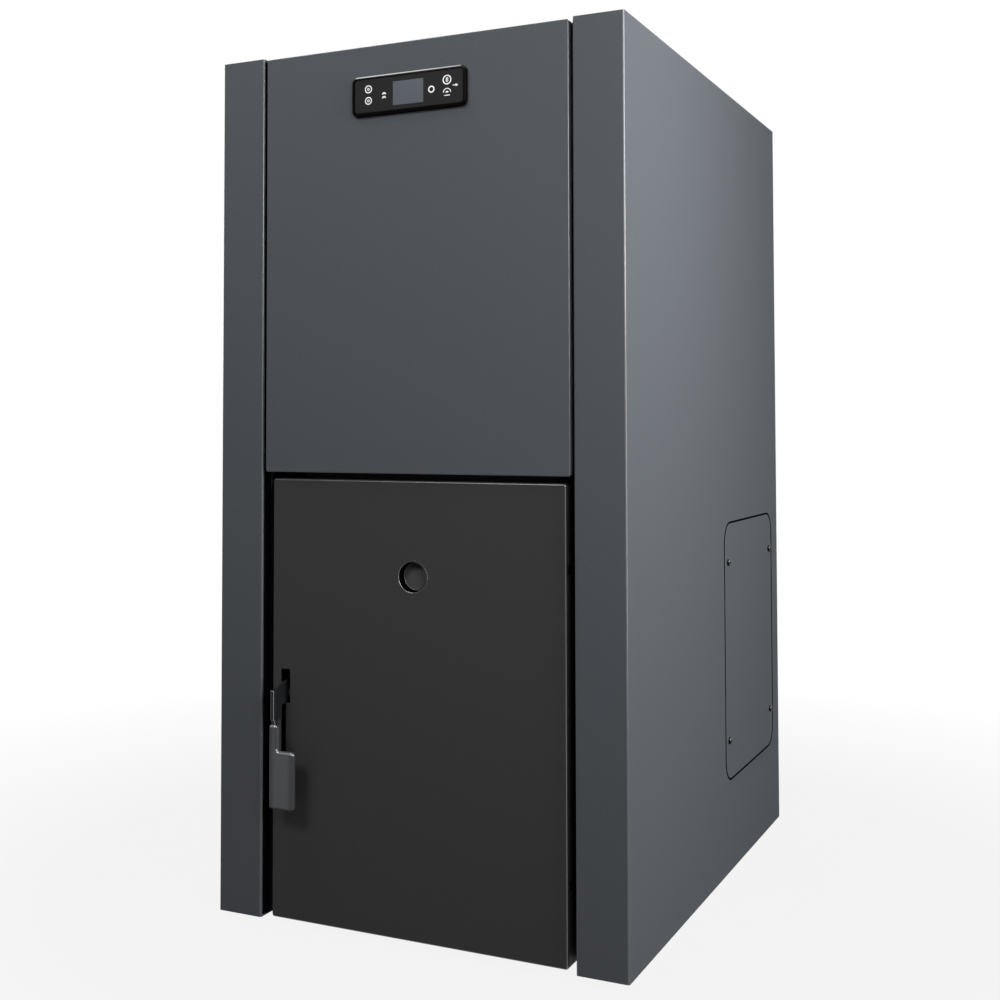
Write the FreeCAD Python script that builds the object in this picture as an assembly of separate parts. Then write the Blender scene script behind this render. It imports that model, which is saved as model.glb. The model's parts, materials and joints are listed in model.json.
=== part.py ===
import FreeCAD
import Part

import math
import os

from FreeCAD import Vector

# Free-standing pellet boiler, in millimetres.
# The origin is on the floor under the middle of the casing.
# +Z is up and the fire door faces -Y.

# Casing sizes
casing_width = 600.0
casing_depth = 800.0
casing_height = 1190.0
floor_gap = 10.0
sheet = 1.5
bend_radius = 3.0
column_width = 69.0
column_return = 30.0
rear_flange = 20.0
cover_drop = 2.0
skirt_height = 20.0
corner_gap = 0.5
weld_gap = 0.2
running_gap = 0.05
side_play = 0.3

# Base frame and levelling feet
base_lift = 2.0
base_sheet = 3.0
base_flange = 37.0
foot_inset_side = 60.0
foot_inset_front = 100.0
foot_inset_rear = 50.0
foot_radius = 20.0
foot_height = 8.0
foot_shoulder_radius = 11.0
foot_stud_radius = 6.0
foot_stud_rise = 25.0
foot_nut_across = 19.0
foot_nut_height = 8.0

# Fire door and the panel over it
door_recess = 7.0
door_depth = 32.0
door_height = 601.0
door_floor_gap = 1.0
door_side_gap = 13.0
door_top_gap = 9.0
door_skin_sheet = 2.0
door_edge_radius = 3.0
door_corner_radius = 4.0
door_plate_thickness = 4.0
panel_side_gap = 5.0
panel_depth = 20.0
panel_edge_radius = 1.5
panel_corner_radius = 3.0
rail_height = 40.0

# Inside of the fire door
insulation_inset_side = 38.0
insulation_inset_end = 20.0
fire_board_depth = 16.0
fire_board_gap = 5.0
fire_board_rise = 55.0
fire_board_drop = 10.0
seal_depth = 9.0
seal_width = 14.0
seal_step = 2.0
port_radius = 21.0
port_wall = 1.5
port_lip = 2.0
port_lip_depth = 2.5
port_depth = 14.5
port_drop = 127.0

# Door hinges
hinge_inset_x = 9.0
hinge_inset_y = 14.0
hinge_pin_radius = 4.0
hinge_arm_height = 12.0
hinge_ear_height = 8.0
hinge_arm_eye = 6.0
hinge_ear_eye = 6.5
hinge_arm_root = 12.0
hinge_low_rise = 100.0
hinge_high_drop = 110.0
hinge_notch_depth = 24.0
hinge_notch_gap = 1.0

# Door latch
latch_inset = 18.0
latch_rise = 305.0
latch_pivot_depth = 16.0
latch_pin_radius = 4.0
latch_cheek = 6.0
latch_cheek_radius = 8.0
lever_thickness = 5.0
lever_reach = 28.0
lever_nose = 21.0
lever_corner_rise = 8.5
lever_shoulder_rise = 18.3
lever_shoulder_depth = 8.0
lever_neck_depth = 11.0
lever_neck_rise = 14.0
lever_neck_low = 6.0
lever_heel_depth = 9.0
lever_heel_drop = 14.0
lever_arm_drop = 13.0
lever_bar_drop = 31.5
tang_inset = 3.0
tang_depth = 7.0
tang_drop = 101.0
striker_radius = 5.0
striker_length = 16.0
striker_rise = 2.0
hook_gap = 0.6
hook_lead = 10.0
hook_rise = 2.0
hook_tooth = 8.4
hook_depth = 11.4
slot_margin = 1.75
slot_wide_extra = 6.5
slot_top_rise = 34.5
slot_step_drop = 12.0
slot_bottom_drop = 91.0
plate_slot_up = 29.0
plate_slot_down = 46.0
grip_reach = 30.0
grip_thickness = 6.5
grip_spine_depth = 14.0
grip_margin = 2.0
grip_neck_width = 12.5
grip_paddle_width = 40.0
grip_neck_top_drop = 36.5
grip_shoulder_drop = 71.5
grip_bottom_drop = 150.0
grip_edge_radius = 2.0
grip_corner_radius = 5.0
grip_waist_radius = 4.0
grip_top_radius = 3.0
grip_spine_inset = 4.0
grip_pocket_gap = 0.2

# Display on the upper panel
display_drop = 71.5
bezel_width = 171.0
bezel_height = 54.0
bezel_radius = 8.0
bezel_depth = 6.0
bezel_ring = 4.5
bezel_edge_radius = 1.2
overlay_inset = 0.8
overlay_thickness = 3.2
overlay_radius = 4.5
overlay_gap = 0.2
window_width = 46.0
window_height = 32.4
window_inset = 0.3
window_corner = 1.0
window_drop = 0.3
window_gap = 0.1
panel_cutout_margin = 3.0
board_inset = 10.0
board_corner = 5.0
board_thickness = 1.6
board_standoff = 2.5
board_standoff_radius = 3.0

# Service cover on the right side
cover_width = 300.0
cover_height = 386.0
cover_radius = 31.0
cover_groove = 3.0
cover_rear_gap = 48.0
cover_rise = 138.0
ledge_inside = 26.0
ledge_corner_radius = 12.0
ledge_outside = 8.0
cover_screw_inset_y = 18.5
cover_screw_inset_z = 58.5
screw_head_radius = 5.25
screw_head_height = 4.0
screw_head_round = 1.6
screw_socket_across = 5.0
screw_socket_depth = 2.0
screw_shank_radius = 2.5
screw_shank_length = 14.0
panel_screw_count = 4
panel_screw_inset = 60.0

# Pressure body
plate_inset = 26.0
front_plate = 8.0
opening_margin = 47.0
opening_drop = 52.0
body_headroom = 120.0
body_hopper_gap = 60.0
jacket_inset = 2.0
jacket_wall = 4.0
water_floor_rise = 20.0
plate_thickness = 5.0
water_gap_side = 38.0
water_gap_rear = 48.0
firebox_wall = 5.0
crown_rise = 40.0
smoke_box_height = 95.0
tube_radius = 25.5
tube_bore = 22.0
tube_columns = 4
tube_row_spacing = 120.0
hatch_margin = 40.0
hatch_front_margin = 44.0
hatch_rear_margin = 100.0
hatch_overlap = 10.0
hatch_thickness = 8.0
knob_radius = 14.0
knob_height = 20.0
knob_stem_radius = 6.0
knob_stem_height = 8.0
knob_inset = 20.0

# Burner and ash pan
ash_pan_height = 58.0
ash_pan_front_gap = 9.0
ash_pan_rear_gap = 7.0
ash_pan_grip_width = 90.0
ash_pan_grip_reach = 7.0
ash_pan_grip_height = 12.0
air_box_gap = 9.0
air_box_width = 190.0
air_box_depth = 187.0
air_box_height = 68.0
air_box_wall = 3.0
pot_setback = 97.0
pot_radius = 55.0
pot_wall = 4.0
pot_flange = 17.0
pot_rise = 48.0
pot_sink = 40.0
pot_hole_radius = 3.0
pot_grate_circle = 28.0
pot_grate_holes = 10
pot_side_holes = 14
igniter_x = -40.0
igniter_radius = 7.0
igniter_nut_across = 22.0
igniter_nut_depth = 12.0
igniter_tip_gap = 4.0
igniter_tail = 30.0
igniter_tail_radius = 4.0

# Hopper and its lid
hopper_side_gap = 80.0
hopper_depth = 300.0
hopper_rear_gap = 40.0
hopper_clearance = 1.0
hopper_flange = 5.0
hopper_flange_thickness = 2.0
hopper_rim_rise = 12.0
outlet_width = 80.0
outlet_depth = 120.0
funnel_height = 205.0
lid_overhang = 12.0
lid_rear_overhang = 10.0
lid_lift = 1.0
lid_height = 20.0
lid_corner_radius = 6.0
lid_edge_radius = 2.0
lid_lip_width = 120.0
lid_lip_reach = 10.0
lid_lip_thickness = 3.0
lid_seal_width = 12.0
lid_hinge_setback = 20.0
lid_hinge_rise = 10.0
lid_hinge_spread = 150.0
lid_pin_radius = 3.0
lid_ear_width = 20.0
lid_ear_radius = 6.0
lid_cheek_width = 20.0
lid_cheek_radius = 7.0
lid_block_base = 3.0

# Pellet feed
auger_drop = 40.0
auger_tube_radius = 38.0
auger_tube_wall = 3.0
auger_overhang = 57.0
auger_rear_gap = 30.0
throat_rise = 55.0
flight_gap = 3.0
flight_thickness = 3.0
flight_turns = 6
flight_setback = 14.0
shaft_radius = 9.0
shaft_seat = 35.0
gearbox_width = 90.0
gearbox_height = 100.0
gearbox_depth = 45.0
gearbox_edge = 6.0
motor_radius = 30.0
motor_length = 115.0
motor_cap_radius = 22.0
motor_cap_length = 15.0

# Smoke path
fan_wall_gap = 15.0
fan_motor_length = 55.0
fan_motor_radius = 45.0
fan_flange = 3.0
fan_flange_radius = 60.0
fan_cheek = 2.0
fan_housing_radius = 80.0
fan_wall = 3.0
fan_rise = 205.0
fan_setback = 110.0
fan_outlet_reach = 95.0
fan_inlet_radius = 35.0
fan_shaft_radius = 5.0
fan_shaft_hole_radius = 10.0
fan_shaft_seat = 30.0
impeller_radius = 62.0
impeller_gap = 8.0
impeller_hub_radius = 14.0
impeller_plate = 2.5
impeller_blade = 2.5
impeller_blades = 8
duct_width = 60.0
duct_depth = 50.0
duct_wall = 2.0
duct_foot_margin = 35.0
duct_top_drop = 10.0
smoke_hole_rise = 12.0
smoke_hole_drop = 20.0
flue_radius = 40.0
flue_wall = 2.0
sleeve_wall = 2.0
sleeve_overlap = 10.0

# Pipes
stub_reach = 27.0
bead_height = 3.0
bead_depth = 4.0
air_pipe_x = 60.0
air_pipe_radius = 25.0
air_pipe_wall = 2.0
water_pipe_radius = 16.85
water_pipe_wall = 2.65
water_pipe_inset = 40.0
water_pipe_bend = 28.0
supply_drop = 130.0
supply_over_auger = 100.0
return_rise = 285.0
pump_start = 120.0
pump_length = 140.0
pump_flange_radius = 26.0
pump_flange_depth = 10.0
pump_neck_radius = 20.0
pump_volute_radius = 48.0
pump_volute_half = 22.0
pump_head_radius = 42.0
pump_head_reach = 115.0
drain_rise = 24.0
drain_stub_radius = 9.0
drain_stub_length = 26.0
drain_body_radius = 14.0
drain_body_length = 34.0
drain_spout_radius = 7.0
drain_spout_drop = 22.0
drain_lever_length = 40.0
drain_lever_width = 12.0
drain_lever_thickness = 3.0

# Mains inlet on the rear panel
inlet_inset = 70.0
switch_drop = 150.0
switch_flange_margin = 3.0
switch_flange_depth = 2.5
switch_wall = 1.7
rocker_width = 18.0
rocker_half_height = 12.0
rocker_front = 5.0
rocker_valley = 3.0
rocker_back = 6.0
rocker_back_half = 9.0
rocker_swing = 10.0
rocker_tip_gap = 0.5
rocker_axis_depth = 1.5
trunnion_radius = 1.5
trunnion_length = 1.4
gland_drop = 220.0
gland_across = 24.0
gland_hex_depth = 6.0
gland_thread_radius = 8.0
gland_inside = 14.0
gland_nut_depth = 5.0
gland_dome_radius = 9.0
gland_dome_depth = 8.0
gland_bore = 4.5
vent_count = 8
vent_width = 60.0
vent_height = 5.0
vent_pitch = 14.0
vent_drop = 60.0
vent_spread = 110.0
vent_corner_radius = 2.2

# Casing faces
half_width = casing_width / 2
wall_x = half_width - sheet
front_y = -casing_depth / 2
back_y = casing_depth / 2
base_z = floor_gap
top_z = floor_gap + casing_height
column_x = half_width - column_width
rear_face_y = back_y - sheet
rear_inner_y = rear_face_y - sheet
lining_back_y = back_y - bend_radius - corner_gap
stub_end_y = back_y + stub_reach
deck_z = top_z - cover_drop
base_bottom_z = base_z + base_lift
base_top_z = base_bottom_z + base_sheet

# Door, panel and rail faces
door_half = column_x - door_side_gap
door_bottom_z = base_z + door_floor_gap
door_top_z = door_bottom_z + door_height
door_front_y = front_y + door_recess
door_back_y = door_front_y + door_depth
door_plate_y = door_back_y - door_plate_thickness
door_inner_half = door_half - door_skin_sheet
door_inner_front_y = door_front_y + door_skin_sheet
door_inner_bottom_z = door_bottom_z + door_skin_sheet
door_inner_top_z = door_top_z - door_skin_sheet
panel_half = column_x - panel_side_gap
panel_bottom_z = door_top_z + door_top_gap
panel_back_y = front_y + panel_depth
rail_back_y = front_y + column_return
port_z = door_top_z - port_drop
port_floor_y = door_front_y + port_depth
insulation_half = door_half - insulation_inset_side
hinge_x = door_half - hinge_inset_x
hinge_y = door_front_y + hinge_inset_y
hinge_levels = (door_bottom_z + hinge_low_rise, door_top_z - hinge_high_drop)

# Pressure body faces
plate_half = door_half - plate_inset
plate_front_y = door_back_y + seal_depth
plate_back_y = plate_front_y + front_plate
body_top_z = top_z - body_headroom
hopper_half = half_width - hopper_side_gap
hopper_back_y = back_y - hopper_rear_gap
hopper_front_y = hopper_back_y - hopper_depth
hopper_centre_y = (hopper_front_y + hopper_back_y) / 2
jacket_half = plate_half - jacket_inset
jacket_back_y = hopper_front_y - body_hopper_gap
water_floor_z = base_top_z + water_floor_rise
firebox_bottom_z = water_floor_z + plate_thickness
firebox_floor_z = firebox_bottom_z + firebox_wall
firebox_half = jacket_half - water_gap_side
firebox_back_y = jacket_back_y - water_gap_rear
firebox_rear_y = firebox_back_y - firebox_wall
opening_half = plate_half - opening_margin
opening_top_z = door_top_z - opening_drop
crown_z = opening_top_z + crown_rise
tube_plate_z = body_top_z - smoke_box_height
firebox_inner_half = firebox_half - firebox_wall
tube_pitch = 2 * firebox_inner_half / tube_columns
tube_middle_y = (plate_back_y + firebox_rear_y) / 2

# Burner and feed places
pan_top_z = firebox_floor_z + ash_pan_height
air_box_bottom_z = pan_top_z + air_box_gap
air_box_top_z = air_box_bottom_z + air_box_height
air_pipe_z = (air_box_bottom_z + air_box_top_z) / 2
pot_y = firebox_rear_y - pot_setback
auger_z = opening_top_z - auger_drop
auger_front_y = firebox_rear_y - auger_overhang
auger_back_y = hopper_back_y - auger_rear_gap
auger_bore = auger_tube_radius - auger_tube_wall
throat_z = auger_z + throat_rise
funnel_top_z = throat_z + funnel_height
rim_z = deck_z + hopper_rim_rise

# Lid places
lid_half = hopper_half + lid_overhang
lid_front_y = hopper_front_y - lid_overhang
lid_back_y = hopper_back_y + lid_rear_overhang
lid_bottom_z = deck_z + lid_lift
lid_top_z = lid_bottom_z + lid_height
lid_hinge_y = hopper_back_y + lid_hinge_setback
lid_hinge_z = deck_z + lid_hinge_rise

# Smoke path places
fan_end_x = -wall_x + fan_wall_gap
fan_flange_x = fan_end_x + fan_motor_length
fan_left_x = fan_flange_x + fan_flange
fan_housing_width = 2 * (flue_radius + fan_cheek)
fan_right_x = fan_left_x + fan_housing_width
fan_y = jacket_back_y + fan_setback
fan_z = base_top_z + fan_rise
duct_left_x = fan_right_x
duct_right_x = duct_left_x + duct_width
flue_x = (fan_left_x + fan_right_x) / 2
flue_z = fan_z - (fan_housing_radius - flue_radius - fan_cheek)
flue_start_y = fan_y + fan_outlet_reach

# Water pipe places
water_pipe_x = jacket_half - water_pipe_inset
supply_z = body_top_z - supply_drop
supply_low_z = auger_z + supply_over_auger
supply_fall_y = (jacket_back_y + hopper_front_y) / 2
return_z = base_top_z + return_rise
pump_y = jacket_back_y + pump_start
pump_end_y = pump_y + pump_length
drain_z = firebox_bottom_z + drain_rise

# Latch places
latch_x = -(door_half - latch_inset)
latch_y = door_front_y + latch_pivot_depth
latch_z = door_bottom_z + latch_rise
lever_half = lever_thickness / 2
striker_y = (plate_front_y + plate_back_y) / 2
striker_z = latch_z + striker_rise
lever_front_y = door_front_y - lever_reach
tang_front_y = lever_front_y + tang_inset
tang_back_y = tang_front_y + tang_depth
grip_front_y = door_front_y - grip_reach

# Display places
display_z = top_z - display_drop
bezel_front_y = front_y - bezel_depth
overlay_front_y = bezel_front_y + overlay_inset
overlay_back_y = overlay_front_y + overlay_thickness
overlay_half_width = bezel_width / 2 - bezel_ring
overlay_half_height = bezel_height / 2 - bezel_ring

# Service cover places
cover_back_y = back_y - cover_rear_gap
cover_front_y = cover_back_y - cover_width
cover_bottom_z = base_z + cover_rise
cover_top_z = cover_bottom_z + cover_height

# Rear inlet places
inlet_x = half_width - inlet_inset
switch_z = top_z - switch_drop
gland_z = top_z - gland_drop
rocker_y = rear_face_y - rocker_axis_depth

AXES = {"x": Vector(1, 0, 0), "y": Vector(0, 1, 0), "z": Vector(0, 0, 1)}


# Basic shapes


def box(x_low, x_high, y_low, y_high, z_low, z_high):
    """Block between its low and high faces along each axis."""
    corner = Vector(x_low, y_low, z_low)
    return Part.makeBox(x_high - x_low, y_high - y_low, z_high - z_low, corner)


def rod(axis, start, length, radius):
    """Round bar from a start point along an axis."""
    return Part.makeCylinder(radius, length, Vector(*start), AXES[axis])


def tube(axis, start, length, radius, bore):
    """Round pipe from a start point along an axis."""
    return rod(axis, start, length, radius).cut(rod(axis, start, length, bore))


def place(plane, across, along, level):
    """Point in space from its place in a drawing plane and the plane's level."""
    if plane == "xy":
        return Vector(across, along, level)
    if plane == "xz":
        return Vector(across, level, along)
    return Vector(level, across, along)


def corner_arc(corner, before, after, radius):
    """Start, middle and end of the arc that rounds a corner between two points."""
    back = (before - corner).normalize()
    ahead = (after - corner).normalize()
    half_angle = back.getAngle(ahead) / 2
    reach = radius / math.tan(half_angle)
    bisector = (back + ahead).normalize()
    middle = corner + bisector * (radius / math.sin(half_angle) - radius)
    return corner + back * reach, middle, corner + ahead * reach


def closed_outline(corners, radii):
    """Closed wire through the corners, each rounded by its own radius."""
    count = len(corners)
    arcs = []
    for index, corner in enumerate(corners):
        following = corners[(index + 1) % count]
        if radii[index] > 0:
            arcs.append(corner_arc(corner, corners[index - 1], following, radii[index]))
        else:
            arcs.append((corner, corner, corner))
    edges = []
    for index, arc in enumerate(arcs):
        start, middle, end = arc
        if radii[index] > 0:
            edges.append(Part.Arc(start, middle, end).toShape())
        following_start = arcs[(index + 1) % count][0]
        if end.distanceToPoint(following_start) > 1e-6:
            edges.append(Part.LineSegment(end, following_start).toShape())
    return Part.Wire(edges)


def prism(plane, points, low, high, radii=0.0):
    """Straight solid over an outline drawn in a plane."""
    if not isinstance(radii, list):
        radii = [radii] * len(points)
    corners = [place(plane, across, along, low) for across, along in points]
    face = Part.Face(closed_outline(corners, radii))
    return face.extrude(place(plane, 0, 0, high - low))


def rectangle(across_low, across_high, along_low, along_high):
    """Corners of a rectangle in a drawing plane."""
    return [
        (across_low, along_low),
        (across_high, along_low),
        (across_high, along_high),
        (across_low, along_high),
    ]


def hexagon(centre, across_flats):
    """Corners of a regular hexagon in a drawing plane."""
    reach = across_flats / math.sqrt(3)
    angles = [math.radians(60 * step) for step in range(6)]
    return [(centre[0] + reach * math.cos(a), centre[1] + reach * math.sin(a)) for a in angles]


def folded_sheet(path, thickness, outer_radius, low, high):
    """Sheet folded to the left along its outer face in plan, with square bends."""
    normals = []
    for start, end in zip(path, path[1:]):
        length = math.hypot(end[0] - start[0], end[1] - start[1])
        normals.append(((start[1] - end[1]) / length, (end[0] - start[0]) / length))
    inner_path = []
    for index, point in enumerate(path):
        nearby = normals[max(index - 1, 0):index + 1]
        shift_x = sum(normal[0] for normal in nearby) * thickness
        shift_y = sum(normal[1] for normal in nearby) * thickness
        inner_path.append((point[0] + shift_x, point[1] + shift_y))
    bends = len(path) - 2
    outer_radii = [0.0] + [outer_radius] * bends + [0.0]
    inner_radii = [0.0] + [outer_radius - thickness] * bends + [0.0]
    return prism("xy", path + inner_path[::-1], low, high, outer_radii + inner_radii)


def filleted(shape, radius, wanted):
    """Shape with each edge rounded whose middle point is wanted."""
    edges = [edge for edge in shape.Edges if wanted(edge.CenterOfMass)]
    return shape.makeFillet(radius, edges)


def bent_pipe(points, bend, radius):
    """Solid bar along straight runs joined by arcs."""
    edges = []
    start = points[0]
    for before, corner, after in zip(points, points[1:], points[2:]):
        arc_start, middle, arc_end = corner_arc(corner, before, after, bend)
        edges.append(Part.LineSegment(start, arc_start).toShape())
        edges.append(Part.Arc(arc_start, middle, arc_end).toShape())
        start = arc_end
    edges.append(Part.LineSegment(start, points[-1]).toShape())
    section = Part.Wire(Part.makeCircle(radius, points[0], points[1] - points[0]))
    return Part.Wire(edges).makePipeShell([section], True, False)


def mirrored(shape):
    """Copy of a shape on the other side of the middle plane."""
    return shape.mirror(Vector(0, 0, 0), AXES["x"])


def group(shapes):
    """Like pieces that share one node."""
    return Part.makeCompound(shapes)


# Places that repeat


def foot_places():
    """Middle of each levelling foot in plan."""
    across = half_width - foot_inset_side
    rows = (front_y + foot_inset_front, back_y - foot_inset_rear)
    return [(side * across, row) for side in (-1, 1) for row in rows]


def panel_screw_levels():
    """Heights of the screws along each rear flange."""
    step = (casing_height - 2 * panel_screw_inset) / (panel_screw_count - 1)
    return [base_z + panel_screw_inset + index * step for index in range(panel_screw_count)]


def cover_screw_places():
    """Middle of each service cover screw on the right side."""
    columns = (cover_front_y + cover_screw_inset_y, cover_back_y - cover_screw_inset_y)
    rows = (cover_bottom_z + cover_screw_inset_z, cover_top_z - cover_screw_inset_z)
    return [(column, row) for column in columns for row in rows]


def tube_places():
    """Middle of each smoke tube in plan."""
    first = -(tube_columns - 1) / 2
    columns = [(first + index) * tube_pitch for index in range(tube_columns)]
    rows = (tube_middle_y - tube_row_spacing / 2, tube_middle_y + tube_row_spacing / 2)
    return [(column, row) for column in columns for row in rows]


def cover_outline(grow):
    """Outline of the service cover, widened all round."""
    return rectangle(
        cover_front_y - grow, cover_back_y + grow, cover_bottom_z - grow, cover_top_z + grow
    )


def display_outline(half_wide, half_high, drop=0.0):
    """Outline centred on the display, or a little below it."""
    middle = display_z - drop
    return rectangle(-half_wide, half_wide, middle - half_high, middle + half_high)


def rear_passages(gap):
    """Bars through the rear of the pressure body where the pipes pass."""
    start_y = firebox_rear_y
    length = jacket_back_y - firebox_rear_y
    bars = [
        rod("y", (0, start_y, auger_z), length, auger_tube_radius + gap),
        rod("y", (air_pipe_x, start_y, air_pipe_z), length, air_pipe_radius + gap),
        rod("y", (igniter_x, start_y, air_pipe_z), length, igniter_radius + gap),
    ]
    return bars


def without(shape, cutters):
    """Shape with each of the cutters taken out of it."""
    for cutter in cutters:
        shape = shape.cut(cutter)
    return shape


def joined(shapes):
    """Shapes grown together into one solid."""
    whole = shapes[0]
    for shape in shapes[1:]:
        whole = whole.fuse(shape)
    return whole.removeSplitter()


# Fasteners


def screw(seat, axis):
    """Pan-head screw with a hexagon socket, its head standing out from its seat."""
    out = AXES[axis]
    tip = seat + out * screw_head_height
    head = Part.makeCylinder(screw_head_radius, screw_head_height, seat, out)
    head = filleted(head, screw_head_round, lambda middle: (middle - tip).Length < 1e-3)
    plane = "yz" if axis == "x" else "xz"
    centre = (seat.y, seat.z) if axis == "x" else (seat.x, seat.z)
    level = tip.dot(out)
    flats = hexagon(centre, screw_socket_across)
    socket = prism(plane, flats, level - screw_socket_depth, level)
    start = seat - out * screw_shank_length
    shank = Part.makeCylinder(screw_shank_radius, screw_shank_length, start, out)
    return head.cut(socket).fuse(shank)


def service_cover_screws():
    """Four screws that hold the service cover."""
    return group([screw(Vector(half_width, y, z), "x") for y, z in cover_screw_places()])


def rear_panel_screws():
    """Screws through the rear flanges into the rear panel."""
    across = half_width - rear_flange / 2
    places = [Vector(side * across, back_y, z) for side in (-1, 1) for z in panel_screw_levels()]
    return group([screw(place_of, "y") for place_of in places])


# Casing


def base_frame():
    """Floor tray that carries the pressure body and stiffens the casing."""
    tray_top_z = base_top_z + base_flange
    block = box(-wall_x, wall_x, plate_front_y, lining_back_y, base_bottom_z, tray_top_z)
    inside_x = wall_x - base_sheet
    inside_y = lining_back_y - base_sheet
    hollow = box(-inside_x, inside_x, plate_front_y, inside_y, base_top_z, tray_top_z)
    hole_radius = foot_stud_radius + weld_gap
    holes = [rod("z", (x, y, base_bottom_z), base_sheet, hole_radius) for x, y in foot_places()]
    return without(block, [hollow] + holes)


def levelling_foot(x, y):
    """Round pad on a threaded stud with a lock nut."""
    pad = rod("z", (x, y, 0), foot_height, foot_radius)
    shoulder = rod("z", (x, y, foot_height), base_bottom_z - foot_height, foot_shoulder_radius)
    stud = rod("z", (x, y, base_bottom_z), base_sheet + foot_stud_rise, foot_stud_radius)
    flats = hexagon((x, y), foot_nut_across)
    nut = prism("xy", flats, base_top_z, base_top_z + foot_nut_height)
    return joined([pad, shoulder, stud, nut])


def levelling_feet():
    """Four levelling feet."""
    return group([levelling_foot(x, y) for x, y in foot_places()])


def side_panel():
    """Right side sheet with its folded front column and rear flange."""
    path = [
        (column_x, rail_back_y),
        (column_x, front_y),
        (half_width, front_y),
        (half_width, back_y),
        (half_width - rear_flange, back_y),
    ]
    panel = folded_sheet(path, sheet, bend_radius, base_z, top_z)
    across = half_width - rear_flange / 2
    hole_radius = screw_shank_radius + weld_gap
    levels = panel_screw_levels()
    return without(panel, [rod("y", (across, rear_face_y, z), sheet, hole_radius) for z in levels])


def side_panel_left():
    """Plain side of the casing."""
    return mirrored(side_panel())


def side_panel_right():
    """Side of the casing with the service opening and the ledge behind it."""
    opening_radius = cover_radius + cover_groove
    opening = prism("yz", cover_outline(cover_groove), wall_x, half_width, opening_radius)
    ledge_back_x = wall_x - sheet
    ledge_grow = cover_groove + ledge_outside
    ledge_radius = cover_radius + ledge_grow
    ledge = prism("yz", cover_outline(ledge_grow), ledge_back_x, wall_x, ledge_radius)
    window = prism("yz", cover_outline(-ledge_inside), ledge_back_x, wall_x, ledge_corner_radius)
    hole_radius = screw_shank_radius + weld_gap
    holes = [rod("x", (ledge_back_x, y, z), sheet, hole_radius) for y, z in cover_screw_places()]
    ledge = without(ledge, [window] + holes)
    return side_panel().cut(opening).fuse(ledge)


def service_cover():
    """Flush plate over the service opening."""
    plate = prism("yz", cover_outline(0), wall_x, half_width, cover_radius)
    hole_radius = screw_shank_radius + weld_gap
    holes = [rod("x", (wall_x, y, z), sheet, hole_radius) for y, z in cover_screw_places()]
    return without(plate, holes)


def front_cross_rails():
    """Two bars between the columns that carry the upper front panel."""
    lower = (panel_bottom_z, panel_bottom_z + rail_height)
    upper = (deck_z - rail_height, deck_z)
    rails = [box(-column_x, column_x, panel_back_y, rail_back_y, *span) for span in (lower, upper)]
    return group(rails)


def upper_front_panel():
    """Folded tray over the fire door, with the cut-out for the display."""
    outline = rectangle(-panel_half, panel_half, panel_bottom_z, deck_z)
    tray = prism("xz", outline, front_y, panel_back_y, panel_corner_radius)
    tray = filleted(tray, panel_edge_radius, lambda middle: abs(middle.y - front_y) < 1e-3)
    inside = panel_half - sheet
    inside_bottom_z = panel_bottom_z + sheet
    inside_top_z = deck_z - sheet
    sheet_back_y = front_y + sheet
    hollow = box(-inside, inside, sheet_back_y, panel_back_y, inside_bottom_z, inside_top_z)
    half_wide = window_width / 2 + panel_cutout_margin
    half_high = window_height / 2 + panel_cutout_margin
    cutout = prism("xz", display_outline(half_wide, half_high, window_drop), front_y, sheet_back_y)
    return without(tray, [hollow, cutout])


def top_panel():
    """Top sheet with a skirt and an opening for the hopper."""
    skirt_z = deck_z - skirt_height
    under_z = deck_z - sheet
    inside_x = wall_x - sheet
    lid_sheet = box(-wall_x, wall_x, rail_back_y, lining_back_y, skirt_z, deck_z)
    inside_back_y = lining_back_y - sheet
    hollow = box(-inside_x, inside_x, rail_back_y + sheet, inside_back_y, skirt_z, under_z)
    ear_front_y = front_y + bend_radius + corner_gap
    ear = box(column_x + sheet, wall_x, ear_front_y, rail_back_y, under_z, deck_z)
    reach_x = hopper_half + hopper_clearance
    low_y = hopper_front_y - hopper_clearance
    high_y = hopper_back_y + hopper_clearance
    opening = box(-reach_x, reach_x, low_y, high_y, under_z, deck_z)
    return joined([without(lid_sheet, [hollow, opening]), ear, mirrored(ear)])


def vent_slots():
    """Two stacks of slots high in the rear panel."""
    slots = []
    for side in (-1, 1):
        left = side * vent_spread - vent_width / 2
        for index in range(vent_count):
            high = deck_z - vent_drop - index * vent_pitch
            outline = rectangle(left, left + vent_width, high - vent_height, high)
            slots.append(prism("xz", outline, rear_inner_y, rear_face_y, vent_corner_radius))
    return slots


def rear_panel():
    """Rear sheet with the pipe holes, the vents and the mains inlet."""
    half = wall_x - (bend_radius - sheet) - corner_gap
    panel = box(-half, half, rear_inner_y, rear_face_y, base_bottom_z, deck_z)
    round_holes = [
        (flue_x, flue_z, flue_radius),
        (air_pipe_x, air_pipe_z, air_pipe_radius),
        (water_pipe_x, supply_low_z, water_pipe_radius),
        (water_pipe_x, return_z, water_pipe_radius),
        (inlet_x, gland_z, gland_thread_radius),
    ]
    across = half_width - rear_flange / 2
    for side in (-1, 1):
        round_holes += [(side * across, z, screw_shank_radius) for z in panel_screw_levels()]
    holes = [rod("y", (x, rear_inner_y, z), sheet, r + weld_gap) for x, z, r in round_holes]
    body = switch_outline(switch_half_width() + weld_gap, switch_half_height() + weld_gap)
    switch_hole = prism("xz", body, rear_inner_y, rear_face_y)
    return without(panel, holes + [switch_hole] + vent_slots())


# Hopper and lid


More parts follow.
